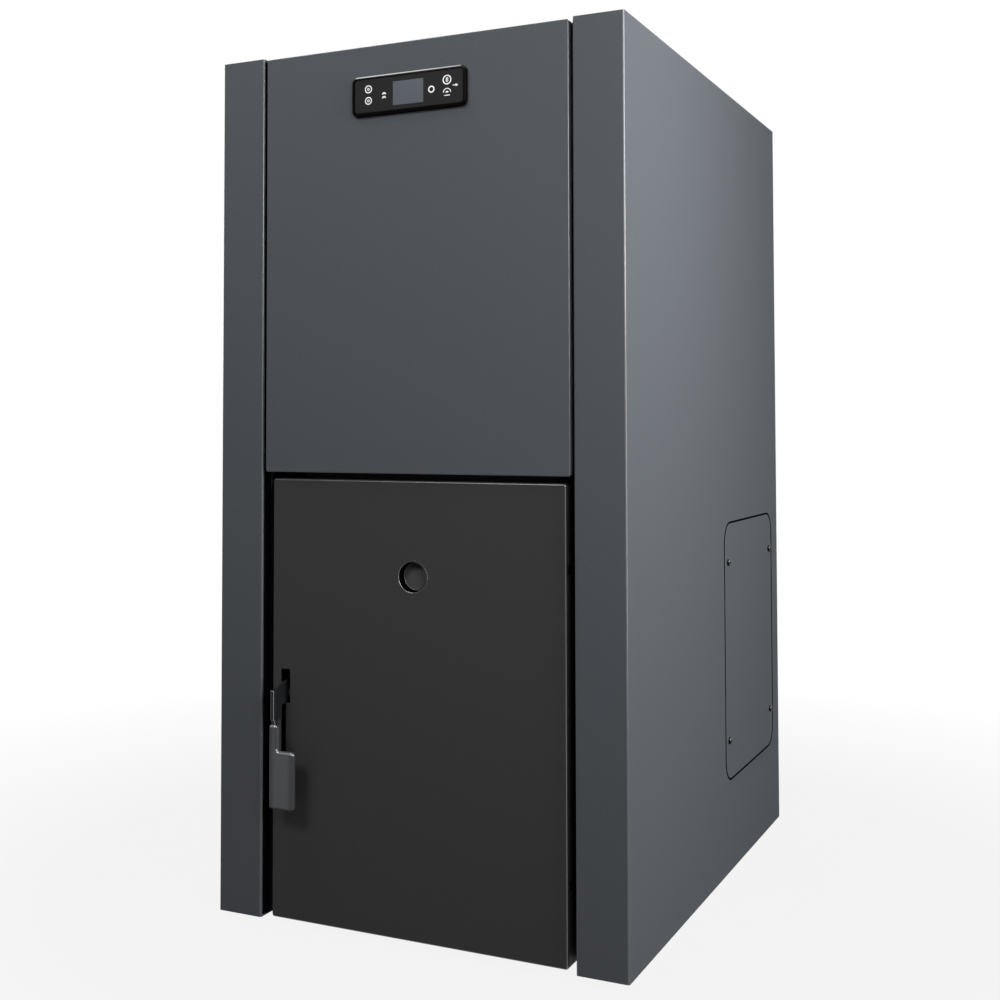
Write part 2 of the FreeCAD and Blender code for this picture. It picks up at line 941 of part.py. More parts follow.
def hopper():
    """Straight pellet bin with a flange that hangs on the top panel."""
    flange_x = hopper_half + hopper_flange
    flange_low_y = hopper_front_y - hopper_flange
    flange_high_y = hopper_back_y + hopper_flange
    flange_top_z = deck_z + hopper_flange_thickness
    flange = box(-flange_x, flange_x, flange_low_y, flange_high_y, deck_z, flange_top_z)
    walls = box(-hopper_half, hopper_half, hopper_front_y, hopper_back_y, funnel_top_z, rim_z)
    inside_x = hopper_half - sheet
    low_y = hopper_front_y + sheet
    high_y = hopper_back_y - sheet
    inside = box(-inside_x, inside_x, low_y, high_y, funnel_top_z, rim_z)
    return joined([walls, flange]).cut(inside)


def funnel_rims(inset):
    """Upper and lower rim of the funnel, drawn in all round."""
    half = hopper_half - inset
    upper = rectangle(-half, half, hopper_front_y + inset, hopper_back_y - inset)
    outlet_x = outlet_width / 2 - inset
    outlet_y = outlet_depth / 2 - inset
    lower = rectangle(-outlet_x, outlet_x, hopper_centre_y - outlet_y, hopper_centre_y + outlet_y)
    return upper, lower


def hopper_funnel():
    """Four sloping plates that lead from the bin down to the feed throat."""
    outer_rims = funnel_rims(0)
    inner_rims = funnel_rims(sheet)
    plates = []
    for side in range(4):
        ends = (side - 1, side)
        wires = []
        for outer, inner, level in zip(outer_rims, inner_rims, (funnel_top_z, throat_z)):
            outline = [outer[end] for end in ends] + [inner[end] for end in reversed(ends)]
            corners = [Vector(x, y, level) for x, y in outline]
            wires.append(Part.makePolygon(corners + corners[:1]))
        plates.append(Part.makeLoft(wires, True, True))
    return group(plates)


def hopper_lid():
    """Shallow lid over the hopper, with a lifting lip and two hinge ears."""
    outline = rectangle(-lid_half, lid_half, lid_front_y, lid_back_y)
    shell = prism("xy", outline, lid_bottom_z, lid_top_z, lid_corner_radius)
    shell = filleted(shell, lid_edge_radius, lambda middle: abs(middle.z - lid_top_z) < 1e-3)
    inside_x = lid_half - sheet
    inside = rectangle(-inside_x, inside_x, lid_front_y + sheet, lid_back_y - sheet)
    inside_top_z = lid_top_z - sheet
    hollow = prism("xy", inside, lid_bottom_z, inside_top_z, lid_corner_radius - sheet)
    lip_half = lid_lip_width / 2
    lip_front_y = lid_front_y - lid_lip_reach
    lip_top_z = lid_bottom_z + lid_lip_thickness
    lip = box(-lip_half, lip_half, lip_front_y, lid_front_y, lid_bottom_z, lip_top_z)
    pieces = [shell.cut(hollow), lip]
    holes = []
    for side in (-1, 1):
        left = side * lid_hinge_spread - lid_ear_width / 2
        right = left + lid_ear_width
        low_z = lid_hinge_z - lid_ear_radius
        high_z = lid_hinge_z + lid_ear_radius
        pieces.append(box(left, right, lid_back_y, lid_hinge_y, low_z, high_z))
        eye = (left, lid_hinge_y, lid_hinge_z)
        pieces.append(rod("x", eye, lid_ear_width, lid_ear_radius))
        holes.append(rod("x", eye, lid_ear_width, lid_pin_radius + running_gap))
    return without(joined(pieces), holes)


def lid_seal():
    """Flat rubber ring inside the lid that closes on the hopper rim."""
    inset = lid_seal_width - hopper_flange
    outer = rectangle(
        -hopper_half - hopper_flange,
        hopper_half + hopper_flange,
        hopper_front_y - hopper_flange,
        hopper_back_y + hopper_flange,
    )
    inner = rectangle(
        -hopper_half + inset, hopper_half - inset, hopper_front_y + inset, hopper_back_y - inset
    )
    top = lid_top_z - sheet
    return prism("xy", outer, rim_z, top).cut(prism("xy", inner, rim_z, top))


def lid_hinge_block(middle_x):
    """Forked block that holds one lid hinge pin."""
    half_gap = lid_ear_width / 2 + side_play
    half = half_gap + lid_cheek_width
    low_y = lid_hinge_y - lid_cheek_radius
    high_y = lid_hinge_y + lid_cheek_radius
    pieces = [box(middle_x - half, middle_x + half, low_y, high_y, deck_z, deck_z + lid_block_base)]
    for left in (middle_x - half, middle_x + half_gap):
        right = left + lid_cheek_width
        pieces.append(box(left, right, low_y, high_y, deck_z, lid_hinge_z))
        start = (left, lid_hinge_y, lid_hinge_z)
        pieces.append(rod("x", start, lid_cheek_width, lid_cheek_radius))
    pin_hole = rod("x", (middle_x - half, lid_hinge_y, lid_hinge_z), 2 * half, lid_pin_radius)
    return joined(pieces).cut(pin_hole)


def lid_hinge_blocks():
    """Two hinge blocks on the top panel."""
    return group([lid_hinge_block(side * lid_hinge_spread) for side in (-1, 1)])


def lid_hinge_pins():
    """Two pins that the lid turns on."""
    half = lid_ear_width / 2 + side_play + lid_cheek_width
    pins = []
    for side in (-1, 1):
        start = (side * lid_hinge_spread - half, lid_hinge_y, lid_hinge_z)
        pins.append(rod("x", start, 2 * half, lid_pin_radius))
    return group(pins)


# Pellet feed


def auger_tube():
    """Feed tube from under the hopper into the firebox, with its filling throat."""
    length = auger_back_y - auger_front_y
    start = (0, auger_front_y, auger_z)
    half_x = outlet_width / 2
    half_y = outlet_depth / 2
    low_y = hopper_centre_y - half_y
    high_y = hopper_centre_y + half_y
    throat = box(-half_x, half_x, low_y, high_y, auger_z, throat_z)
    wall = auger_tube_wall
    shaft_way = box(-half_x + wall, half_x - wall, low_y + wall, high_y - wall, auger_z, throat_z)
    outside = rod("y", start, length, auger_tube_radius).fuse(throat)
    return without(outside, [shaft_way, rod("y", start, length, auger_bore)])


def auger_screw():
    """Feed screw: a helical flight on a round shaft."""
    start_y = auger_front_y + flight_setback
    length = auger_back_y - flight_setback - start_y - flight_thickness
    flight_radius = auger_bore - flight_gap
    helix = Part.makeHelix(length / flight_turns, length, flight_radius)
    root = shaft_radius / 2
    half = flight_thickness / 2
    corners = [
        Vector(root, 0, -half),
        Vector(flight_radius, 0, -half),
        Vector(flight_radius, 0, half),
        Vector(root, 0, half),
    ]
    section = Part.makePolygon(corners + corners[:1])
    flight = Part.Wire(helix.Edges).makePipeShell([section], True, True)
    flight.rotate(Vector(0, 0, 0), AXES["x"], -90)
    flight.translate(Vector(0, start_y + half, auger_z))
    shaft_length = auger_back_y + shaft_seat - start_y
    shaft = rod("y", (0, start_y, auger_z), shaft_length, shaft_radius)
    return shaft.fuse(flight)


def auger_gearbox():
    """Gearbox on the end of the feed tube, with the bore that carries the screw."""
    half_x = gearbox_width / 2
    half_z = gearbox_height / 2
    outline = rectangle(-half_x, half_x, auger_z - half_z, auger_z + half_z)
    block = prism("xz", outline, auger_back_y, auger_back_y + gearbox_depth, gearbox_edge)
    bore_length = shaft_seat + flight_thickness
    return block.cut(rod("y", (0, auger_back_y, auger_z), bore_length, shaft_radius + running_gap))


def auger_motor():
    """Motor on the side of the gearbox."""
    middle_y = auger_back_y + gearbox_depth / 2
    start_x = gearbox_width / 2
    can = rod("x", (start_x, middle_y, auger_z), motor_length, motor_radius)
    cap_start = (start_x + motor_length, middle_y, auger_z)
    return can.fuse(rod("x", cap_start, motor_cap_length, motor_cap_radius))


# Pressure body


def boiler_front_plate():
    """Thick plate that closes the water jacket and frames the fire opening."""
    plate = box(-plate_half, plate_half, plate_front_y, plate_back_y, base_top_z, body_top_z)
    reach = opening_half
    return plate.cut(box(-reach, reach, plate_front_y, plate_back_y, firebox_floor_z, opening_top_z))


def firebox():
    """Steel firebox, open to the door, with the smoke tubes on its crown."""
    half = firebox_half
    inside = firebox_inner_half
    block = box(-half, half, plate_back_y, firebox_back_y, firebox_bottom_z, crown_z)
    under_crown_z = crown_z - firebox_wall
    hollow = box(-inside, inside, plate_back_y, firebox_rear_y, firebox_floor_z, under_crown_z)
    holes = [rod("z", (x, y, under_crown_z), firebox_wall, tube_bore) for x, y in tube_places()]
    return without(block, [hollow] + holes + rear_passages(weld_gap))


def hatch_opening():
    """Half width, front and rear of the cleaning opening in the jacket top."""
    front = plate_back_y + hatch_front_margin
    rear = jacket_back_y - hatch_rear_margin
    return jacket_half - hatch_margin, front, rear


def water_jacket():
    """Outer water shell with its floor, tube plate and smoke box."""
    half = jacket_half
    inside = jacket_half - jacket_wall
    rear_y = jacket_back_y - jacket_wall
    under_z = body_top_z - jacket_wall
    shell = box(-half, half, plate_back_y, jacket_back_y, base_top_z, body_top_z)
    shell = shell.cut(box(-inside, inside, plate_back_y, rear_y, base_top_z, under_z))
    floor = box(-inside, inside, plate_back_y, rear_y, water_floor_z, firebox_bottom_z)
    tube_plate_top_z = tube_plate_z + plate_thickness
    tube_plate = box(-inside, inside, plate_back_y, rear_y, tube_plate_z, tube_plate_top_z)
    holes = [rod("z", (x, y, tube_plate_z), plate_thickness, tube_bore) for x, y in tube_places()]
    for level in (supply_z, return_z):
        start = (water_pipe_x, rear_y, level)
        holes.append(rod("y", start, jacket_wall, water_pipe_radius + weld_gap))
    hatch_half, hatch_front_y, hatch_rear_y = hatch_opening()
    holes.append(box(-hatch_half, hatch_half, hatch_front_y, hatch_rear_y, under_z, body_top_z))
    low_x = duct_left_x + duct_wall
    high_x = duct_right_x - duct_wall
    low_z = tube_plate_top_z + smoke_hole_rise
    high_z = body_top_z - smoke_hole_drop
    holes.append(box(low_x, high_x, rear_y, jacket_back_y, low_z, high_z))
    return without(joined([shell, floor, tube_plate]), holes + rear_passages(weld_gap))


def smoke_tubes():
    """Upright tubes from the firebox crown to the tube plate."""
    length = tube_plate_z - crown_z
    return group([tube("z", (x, y, crown_z), length, tube_radius, tube_bore) for x, y in tube_places()])


def cleaning_hatch():
    """Plate over the cleaning opening of the smoke box."""
    half, low_y, high_y = hatch_opening()
    reach = half + hatch_overlap
    top = body_top_z + hatch_thickness
    return box(-reach, reach, low_y - hatch_overlap, high_y + hatch_overlap, body_top_z, top)


def hatch_knobs():
    """Four knobs that clamp the cleaning hatch."""
    half, low_y, high_y = hatch_opening()
    inset = knob_inset - hatch_overlap
    seat_z = body_top_z + hatch_thickness
    knobs = []
    for x in (-half + inset, half - inset):
        for y in (low_y + inset, high_y - inset):
            stem = rod("z", (x, y, seat_z), knob_stem_height, knob_stem_radius)
            head = rod("z", (x, y, seat_z + knob_stem_height), knob_height, knob_radius)
            knobs.append(stem.fuse(head))
    return group(knobs)


# Burner


def burner_air_box():
    """Closed air box on the rear wall of the firebox that carries the burner pot."""
    half = air_box_width / 2
    wall = air_box_wall
    front = firebox_rear_y - air_box_depth
    block = box(-half, half, front, firebox_rear_y, air_box_bottom_z, air_box_top_z)
    inside = half - wall
    rear_y = firebox_rear_y - wall
    hollow = box(-inside, inside, front + wall, rear_y, air_box_bottom_z + wall, air_box_top_z - wall)
    top_hole = rod("z", (0, pot_y, air_box_top_z - wall), wall, pot_radius + weld_gap)
    air_hole = rod("y", (air_pipe_x, rear_y, air_pipe_z), wall, air_pipe_radius - air_pipe_wall)
    igniter_hole = rod("y", (igniter_x, rear_y, air_pipe_z), wall, igniter_radius + weld_gap)
    return without(block, [hollow, top_hole, air_hole, igniter_hole])


def burner_pot():
    """Cast cup with a flange, grate holes in its floor and air holes round its rim."""
    bottom_z = air_box_top_z - pot_sink
    height = pot_sink + pot_rise
    cup = rod("z", (0, pot_y, bottom_z), height, pot_radius)
    cup = cup.fuse(rod("z", (0, pot_y, air_box_top_z), pot_wall, pot_radius + pot_flange))
    holes = [rod("z", (0, pot_y, bottom_z + pot_wall), height - pot_wall, pot_radius - pot_wall)]
    for index in range(pot_grate_holes):
        angle = 2 * math.pi * index / pot_grate_holes
        x = pot_grate_circle * math.cos(angle)
        y = pot_y + pot_grate_circle * math.sin(angle)
        holes.append(rod("z", (x, y, bottom_z), pot_wall, pot_hole_radius))
    side_z = air_box_top_z + pot_rise / 2
    for index in range(pot_side_holes):
        angle = 2 * math.pi * (index + 0.5) / pot_side_holes
        out = Vector(math.cos(angle), math.sin(angle), 0)
        start = Vector(0, pot_y, side_z) + out * (pot_radius - 2 * pot_wall)
        holes.append(Part.makeCylinder(pot_hole_radius, 3 * pot_wall, start, out))
    return without(cup, holes)


def igniter():
    """Hot rod through the rear of the body, aimed at the burner pot."""
    near_x = abs(igniter_x) - igniter_radius
    tip_y = pot_y + math.sqrt(pot_radius ** 2 - near_x ** 2) + igniter_tip_gap
    bar = rod("y", (igniter_x, tip_y, air_pipe_z), jacket_back_y - tip_y, igniter_radius)
    flats = hexagon((igniter_x, air_pipe_z), igniter_nut_across)
    nut = prism("xz", flats, jacket_back_y, jacket_back_y + igniter_nut_depth)
    tail = rod("y", (igniter_x, jacket_back_y, air_pipe_z), igniter_tail, igniter_tail_radius)
    return joined([bar, nut, tail])


def ash_pan():
    """Loose pan on the firebox floor, with a grip on its front."""
    half = opening_half - fire_board_gap
    front = plate_back_y + ash_pan_front_gap
    rear = firebox_rear_y - ash_pan_rear_gap
    block = box(-half, half, front, rear, firebox_floor_z, pan_top_z)
    inside = half - sheet
    hollow = box(-inside, inside, front + sheet, rear - sheet, firebox_floor_z + sheet, pan_top_z)
    grip_half = ash_pan_grip_width / 2
    grip_top_z = pan_top_z - ash_pan_grip_height
    grip_low_z = grip_top_z - ash_pan_grip_height
    grip = box(-grip_half, grip_half, front - ash_pan_grip_reach, front, grip_low_z, grip_top_z)
    return block.cut(hollow).fuse(grip)


# Smoke path


def smoke_duct():
    """Rear duct from the smoke box down to the fan."""
    foot_half = fan_inlet_radius + duct_foot_margin
    top_z = body_top_z - duct_top_drop

    def profile(inset):
        front = jacket_back_y + inset
        back = jacket_back_y + duct_depth - inset
        foot_back = fan_y + foot_half - inset
        foot_low = fan_z - foot_half + inset
        foot_high = fan_z + foot_half - inset
        return [
            (front, foot_low),
            (foot_back, foot_low),
            (foot_back, foot_high),
            (back, foot_high),
            (back, top_z - inset),
            (front, top_z - inset),
        ]

    low_x = duct_left_x + duct_wall
    high_x = duct_right_x - duct_wall
    outside = prism("yz", profile(0), duct_left_x, duct_right_x)
    inside = prism("yz", profile(duct_wall), low_x, high_x)
    low_z = tube_plate_z + plate_thickness + smoke_hole_rise
    high_z = body_top_z - smoke_hole_drop
    inlet = box(low_x, high_x, jacket_back_y, jacket_back_y + duct_wall, low_z, high_z)
    outlet = rod("x", (duct_left_x, fan_y, fan_z), duct_wall, fan_inlet_radius)
    return without(outside, [inside, inlet, outlet])


def fan_housing():
    """Drum of the extractor fan with its outlet low on one side."""
    drum = rod("x", (fan_left_x, fan_y, fan_z), fan_housing_width, fan_housing_radius)
    outlet_start = (flue_x, fan_y, flue_z)
    outside = drum.fuse(rod("y", outlet_start, fan_outlet_reach, flue_radius))
    inside_width = fan_housing_width - 2 * fan_wall
    inside_start = (fan_left_x + fan_wall, fan_y, fan_z)
    inside = rod("x", inside_start, inside_width, fan_housing_radius - fan_wall)
    outlet = rod("y", outlet_start, fan_outlet_reach, flue_radius - flue_wall)
    inlet = rod("x", (fan_right_x - fan_wall, fan_y, fan_z), fan_wall, fan_inlet_radius)
    shaft_hole = rod("x", (fan_left_x, fan_y, fan_z), fan_wall, fan_shaft_hole_radius)
    return without(outside, [inside, outlet, inlet, shaft_hole])


def fan_impeller():
    """Fan wheel with radial blades on a shaft."""
    plate_x = fan_left_x + fan_wall + impeller_gap
    blade_end_x = fan_right_x - fan_wall - impeller_gap
    shaft_x = fan_left_x - fan_shaft_seat
    pieces = [
        rod("x", (shaft_x, fan_y, fan_z), plate_x - shaft_x, fan_shaft_radius),
        rod("x", (plate_x, fan_y, fan_z), impeller_plate, impeller_radius),
        rod("x", (plate_x, fan_y, fan_z), (blade_end_x - plate_x) / 2, impeller_hub_radius),
    ]
    half = impeller_blade / 2
    inner_z = fan_z + impeller_hub_radius / 2
    outer_z = fan_z + impeller_radius - half
    for index in range(impeller_blades):
        blade = box(plate_x, blade_end_x, fan_y - half, fan_y + half, inner_z, outer_z)
        blade.rotate(Vector(0, fan_y, fan_z), AXES["x"], 360.0 * index / impeller_blades)
        pieces.append(blade)
    return joined(pieces)


def fan_motor():
    """Fan motor with the flange that bolts to the drum and the bore of its shaft."""
    can = rod("x", (fan_end_x, fan_y, fan_z), fan_motor_length, fan_motor_radius)
    can = can.fuse(rod("x", (fan_flange_x, fan_y, fan_z), fan_flange, fan_flange_radius))
    bore_length = fan_shaft_seat + fan_wall
    bore_start = (fan_left_x - bore_length, fan_y, fan_z)
    return can.cut(rod("x", bore_start, bore_length, fan_shaft_radius + running_gap))


def beaded_pipe(x, z, start_y, radius, wall):
    """Straight pipe out through the rear panel, with a bead that stops on it."""
    outside = rod("y", (x, start_y, z), stub_end_y - start_y, radius)
    outside = outside.fuse(rod("y", (x, rear_face_y, z), bead_depth, radius + bead_height))
    return outside.cut(rod("y", (x, start_y, z), stub_end_y - start_y, radius - wall))


def flue_pipe():
    """Flue stub with a sleeve over the outlet of the fan."""
    pipe = beaded_pipe(flue_x, flue_z, flue_start_y, flue_radius, flue_wall)
    sleeve_start = (flue_x, flue_start_y - sleeve_overlap, flue_z)
    sleeve_radius = flue_radius + weld_gap + sleeve_wall
    sleeve = rod("y", sleeve_start, 2 * sleeve_overlap, sleeve_radius)
    seat = rod("y", sleeve_start, sleeve_overlap, flue_radius + weld_gap)
    bore = rod("y", sleeve_start, 2 * sleeve_overlap, flue_radius - flue_wall)
    return pipe.fuse(without(sleeve, [seat, bore])).removeSplitter()


def air_inlet_pipe():
    """Combustion air pipe from the rear panel to the burner air box."""
    return beaded_pipe(air_pipe_x, air_pipe_z, firebox_rear_y, air_pipe_radius, air_pipe_wall)


# Water side


def supply_pipe():
    """Hot pipe from the top of the jacket, down behind it and out at the rear."""
    start_y = jacket_back_y - jacket_wall
    route = [
        Vector(water_pipe_x, start_y, supply_z),
        Vector(water_pipe_x, supply_fall_y, supply_z),
        Vector(water_pipe_x, supply_fall_y, supply_low_z),
        Vector(water_pipe_x, stub_end_y, supply_low_z),
    ]
    outside = bent_pipe(route, water_pipe_bend, water_pipe_radius)
    bead_start = (water_pipe_x, rear_face_y, supply_low_z)
    bead = rod("y", bead_start, bead_depth, water_pipe_radius + bead_height)
    bore = bent_pipe(route, water_pipe_bend, water_pipe_radius - water_pipe_wall)
    return outside.fuse(bead).cut(bore)


def return_pipe():
    """Cool pipe in two lengths, either side of the pump."""
    start_y = jacket_back_y - jacket_wall
    start = (water_pipe_x, start_y, return_z)
    bore = water_pipe_radius - water_pipe_wall
    inner = tube("y", start, pump_y - start_y, water_pipe_radius, bore)
    outer = beaded_pipe(water_pipe_x, return_z, pump_end_y, water_pipe_radius, water_pipe_wall)
    return group([inner, outer])


def circulation_pump():
    """In-line pump: two flanges, a volute and a motor head to the side."""
    middle_y = (pump_y + pump_end_y) / 2
    neck = rod("y", (water_pipe_x, pump_y, return_z), pump_length, pump_neck_radius)
    pieces = [neck]
    for start_y in (pump_y, pump_end_y - pump_flange_depth):
        start = (water_pipe_x, start_y, return_z)
        pieces.append(rod("y", start, pump_flange_depth, pump_flange_radius))
    volute_start = (water_pipe_x - pump_volute_half, middle_y, return_z)
    pieces.append(rod("x", volute_start, 2 * pump_volute_half, pump_volute_radius))
    head_start = (water_pipe_x, middle_y, return_z)
    pieces.append(rod("x", head_start, pump_head_reach, pump_head_radius))
    return joined(pieces)


def drain_cock():
    """Small drain valve low on the rear of the jacket."""
    x = water_pipe_x
    body_y = jacket_back_y + drain_stub_length
    stub = rod("y", (x, jacket_back_y, drain_z), drain_stub_length, drain_stub_radius)
    body = rod("y", (x, body_y, drain_z), drain_body_length, drain_body_radius)
    middle_y = body_y + drain_body_length / 2
    spout_drop = drain_body_radius + drain_spout_drop
    spout = rod("z", (x, middle_y, drain_z - spout_drop), spout_drop, drain_spout_radius)
    stem_top_z = drain_z + drain_body_radius + drain_lever_thickness
    stem = rod("z", (x, middle_y, drain_z), stem_top_z - drain_z, drain_spout_radius)
    half = drain_lever_width / 2
    lever_low_z = stem_top_z
    lever_high_z = stem_top_z + drain_lever_thickness
    back_y = middle_y + drain_lever_length
    lever = box(x - half, x + half, middle_y - half, back_y, lever_low_z, lever_high_z)
    return joined([stub, body, spout, stem, lever])


# Fire door


def hinge_notch(level, low_x, low_y):
    """Room in the door for one hinge arm."""
    half = hinge_arm_height / 2 + hinge_notch_gap
    return box(low_x, door_half, low_y, door_back_y, level - half, level + half)


def door_skin():
    """Black outer tray of the door with the latch slot and the round port."""
    outline = rectangle(-door_half, door_half, door_bottom_z, door_top_z)
    tray = prism("xz", outline, door_front_y, door_back_y, door_corner_radius)
    tray = filleted(tray, door_edge_radius, lambda middle: abs(middle.y - door_front_y) < 1e-3)
    inside = door_inner_half
    hollow = box(
        -inside, inside, door_inner_front_y, door_back_y, door_inner_bottom_z, door_inner_top_z
    )
    left = latch_x - lever_half - slot_margin
    right = latch_x + lever_half + slot_margin
    wide = right + slot_wide_extra
    step_z = latch_z - slot_step_drop
    top = latch_z + slot_top_rise
    bottom = latch_z - slot_bottom_drop
    slot = [(left, bottom), (right, bottom), (right, step_z), (wide, step_z), (wide, top), (left, top)]
    cutters = [hollow, prism("xz", slot, door_front_y, door_inner_front_y)]
    hole_radius = port_radius + port_wall + weld_gap
    cutters.append(rod("y", (0, door_front_y, port_z), door_skin_sheet, hole_radius))
    for level in hinge_levels:
        cutters.append(hinge_notch(level, door_inner_half, door_inner_front_y))
    return without(tray, cutters)


def hinge_spans(level):
    """Heights of the door ears below and above one hinge arm."""
    near = hinge_arm_height / 2 + side_play
    far = near + hinge_ear_height
    return [(level - far, level - near), (level + near, level + far)]


def door_plate():
    """Steel inner plate of the door with its hinge ears and latch cheeks."""
    inside = door_inner_half
    plate = box(
        -inside, inside, door_plate_y, door_back_y, door_inner_bottom_z, door_inner_top_z
    )
    cutters = []
    pieces = []
    pin_holes = []
    for level in hinge_levels:
        cutters.append(hinge_notch(level, hinge_x - hinge_notch_depth, door_plate_y))
        for low_z, high_z in hinge_spans(level):
            eye = hinge_ear_eye
            pieces.append(box(hinge_x - eye, hinge_x + eye, hinge_y, door_plate_y, low_z, high_z))
            start = (hinge_x, hinge_y, low_z)
            pieces.append(rod("z", start, hinge_ear_height, hinge_ear_eye))
            pin_holes.append(rod("z", start, hinge_ear_height, hinge_pin_radius))
    slot_half = lever_half + slot_margin
    slot_low_z = latch_z - plate_slot_down
    slot_high_z = latch_z + plate_slot_up
    low_x = latch_x - slot_half
    high_x = latch_x + slot_half
    cutters.append(box(low_x, high_x, door_plate_y, door_back_y, slot_low_z, slot_high_z))
    near = lever_half + side_play
    cheek_low_z = latch_z - latch_cheek_radius
    cheek_high_z = latch_z + latch_cheek_radius
    for left in (latch_x - near - latch_cheek, latch_x + near):
        right = left + latch_cheek
        pieces.append(box(left, right, latch_y, door_plate_y, cheek_low_z, cheek_high_z))
        start = (left, latch_y, latch_z)
        pieces.append(rod("x", start, latch_cheek, latch_cheek_radius))
        pin_holes.append(rod("x", start, latch_cheek, latch_pin_radius))
    return without(joined([without(plate, cutters)] + pieces), pin_holes)


def door_insulation():
    """Mineral board between the skin and the inner plate."""
    half = insulation_half
    low_z = door_inner_bottom_z + insulation_inset_end
    high_z = door_inner_top_z - insulation_inset_end
    board = box(-half, half, door_inner_front_y, door_plate_y, low_z, high_z)
    pocket_radius = port_radius + port_wall + weld_gap
    start = (0, door_inner_front_y, port_z)
    pocket_depth = port_floor_y + weld_gap - door_inner_front_y
    return board.cut(rod("y", start, pocket_depth, pocket_radius))


def door_fire_board():
    """Heat shield on the fire side of the door."""
    half = opening_half - fire_board_gap
    low_z = firebox_floor_z + fire_board_rise
    high_z = opening_top_z - fire_board_drop
    return box(-half, half, door_back_y, door_back_y + fire_board_depth, low_z, high_z)


def seal_outline(grow):
    """Outline round the fire opening, widened all round."""
    reach = opening_half + grow
    return rectangle(-reach, reach, firebox_floor_z - grow, opening_top_z + grow)


def door_seal():
    """Rope seal on the inner plate that closes against the front plate."""
    outer_grow = seal_step + seal_width
    outside = prism("xz", seal_outline(outer_grow), door_back_y, plate_front_y, outer_grow)
    inside = prism("xz", seal_outline(seal_step), door_back_y, plate_front_y, seal_step)
    return outside.cut(inside)


def sight_port_cup():
    """Blind round cup in the door with a narrow step inside its mouth."""
    start = (0, door_front_y, port_z)
    cup = rod("y", start, port_depth, port_radius + port_wall)
    mouth = rod("y", start, port_lip_depth, port_radius)
    well = rod("y", start, port_depth - port_wall, port_radius - port_lip)
    return without(cup, [mouth, well])


def door_hinge_arm(level):
    """Arm from the edge of the front plate to the hinge axis."""
    eye = hinge_arm_eye
    points = [
        (plate_half, plate_front_y),
        (hinge_x - eye, hinge_y),
        (hinge_x + eye, hinge_y),
        (plate_half + hinge_arm_root, plate_back_y),
        (plate_half, plate_back_y),
    ]
    low_z = level - hinge_arm_height / 2
    arm = prism("xy", points, low_z, low_z + hinge_arm_height)
    start = (hinge_x, hinge_y, low_z)
    arm = arm.fuse(rod("z", start, hinge_arm_height, eye))
    return arm.cut(rod("z", start, hinge_arm_height, hinge_pin_radius + running_gap))


def door_hinge_arms():
    """Lower and upper hinge arm."""
    return group([door_hinge_arm(level) for level in hinge_levels])


def door_hinge_pins():
    """Pins held in the door ears."""
    pins = []
    for level in hinge_levels:
        below, above = hinge_spans(level)
        start = (hinge_x, hinge_y, below[0])
        pins.append(rod("z", start, above[1] - below[0], hinge_pin_radius))
    return group(pins)


# Door latch


def latch_lever():
    """Flat lever through the door slot, with the hook at its rear and a tang below."""
    nose_y = lever_front_y + lever_nose
    hook_z = striker_z - striker_radius - hook_gap
    tooth_y = striker_y + striker_radius + hook_gap
    tooth_back_y = tooth_y + hook_tooth
    tooth_z = striker_z + hook_rise
    bar_z = latch_z - lever_bar_drop
    tang_z = latch_z - tang_drop
    points = [
        (lever_front_y, latch_z + lever_corner_rise),
        (latch_y - lever_shoulder_depth, latch_z + lever_shoulder_rise),
        (latch_y + lever_neck_depth, latch_z + lever_neck_rise),
        (latch_y + lever_neck_depth, latch_z + lever_neck_low),
        (striker_y - hook_lead, hook_z),
        (tooth_y, hook_z),
        (tooth_y, tooth_z),
        (tooth_back_y, tooth_z),
        (tooth_back_y, hook_z - hook_depth),
        (latch_y + lever_heel_depth, latch_z - lever_heel_drop),
        (nose_y, latch_z - lever_arm_drop),
        (nose_y, bar_z),
        (tang_back_y, bar_z),
        (tang_back_y, tang_z),
        (tang_front_y, tang_z),
        (tang_front_y, bar_z),
        (lever_front_y, bar_z),
    ]
    blade = prism("yz", points, latch_x - lever_half, latch_x + lever_half)
    hole_radius = latch_pin_radius + running_gap
    return blade.cut(rod("x", (latch_x - lever_half, latch_y, latch_z), lever_thickness, hole_radius))


def latch_grip():
    """Handle paddle with a spine that wraps the tang of the lever."""
    left = latch_x - lever_half - grip_margin
    spine_right = latch_x + lever_half + grip_margin
    neck_right = left + grip_neck_width
    right = left + grip_paddle_width
    top = latch_z - grip_neck_top_drop
    shoulder = latch_z - grip_shoulder_drop
    bottom = latch_z - grip_bottom_drop
    outline = [
        (left, bottom),
        (right, bottom),
        (right, shoulder),
        (neck_right, shoulder),
        (neck_right, top),
        (left, top),
    ]
    corner = grip_corner_radius
    edge = grip_edge_radius
    radii = [corner, corner, corner, grip_waist_radius, grip_top_radius, grip_top_radius]
    back_y = grip_front_y + grip_thickness
    paddle = prism("xz", outline, grip_front_y, back_y, radii)
    paddle = filleted(paddle, edge, lambda middle: abs(middle.y - grip_front_y) < 1e-3)
    spine_back_y = grip_front_y + grip_spine_depth
    spine_outline = rectangle(left, spine_right, bottom + corner, top - grip_spine_inset)
    spine = prism("xz", spine_outline, back_y, spine_back_y)
    gap = grip_pocket_gap
    pocket = box(
        latch_x - lever_half - gap,
        latch_x + lever_half + gap,
        tang_front_y - gap,
        tang_back_y + gap,
        latch_z - tang_drop - gap,
        top,
    )
    return joined([paddle, spine]).cut(pocket)


def latch_pivot_pin():
    """Pin that the lever turns on."""
    half = lever_half + side_play + latch_cheek
    return rod("x", (latch_x - half, latch_y, latch_z), 2 * half, latch_pin_radius)


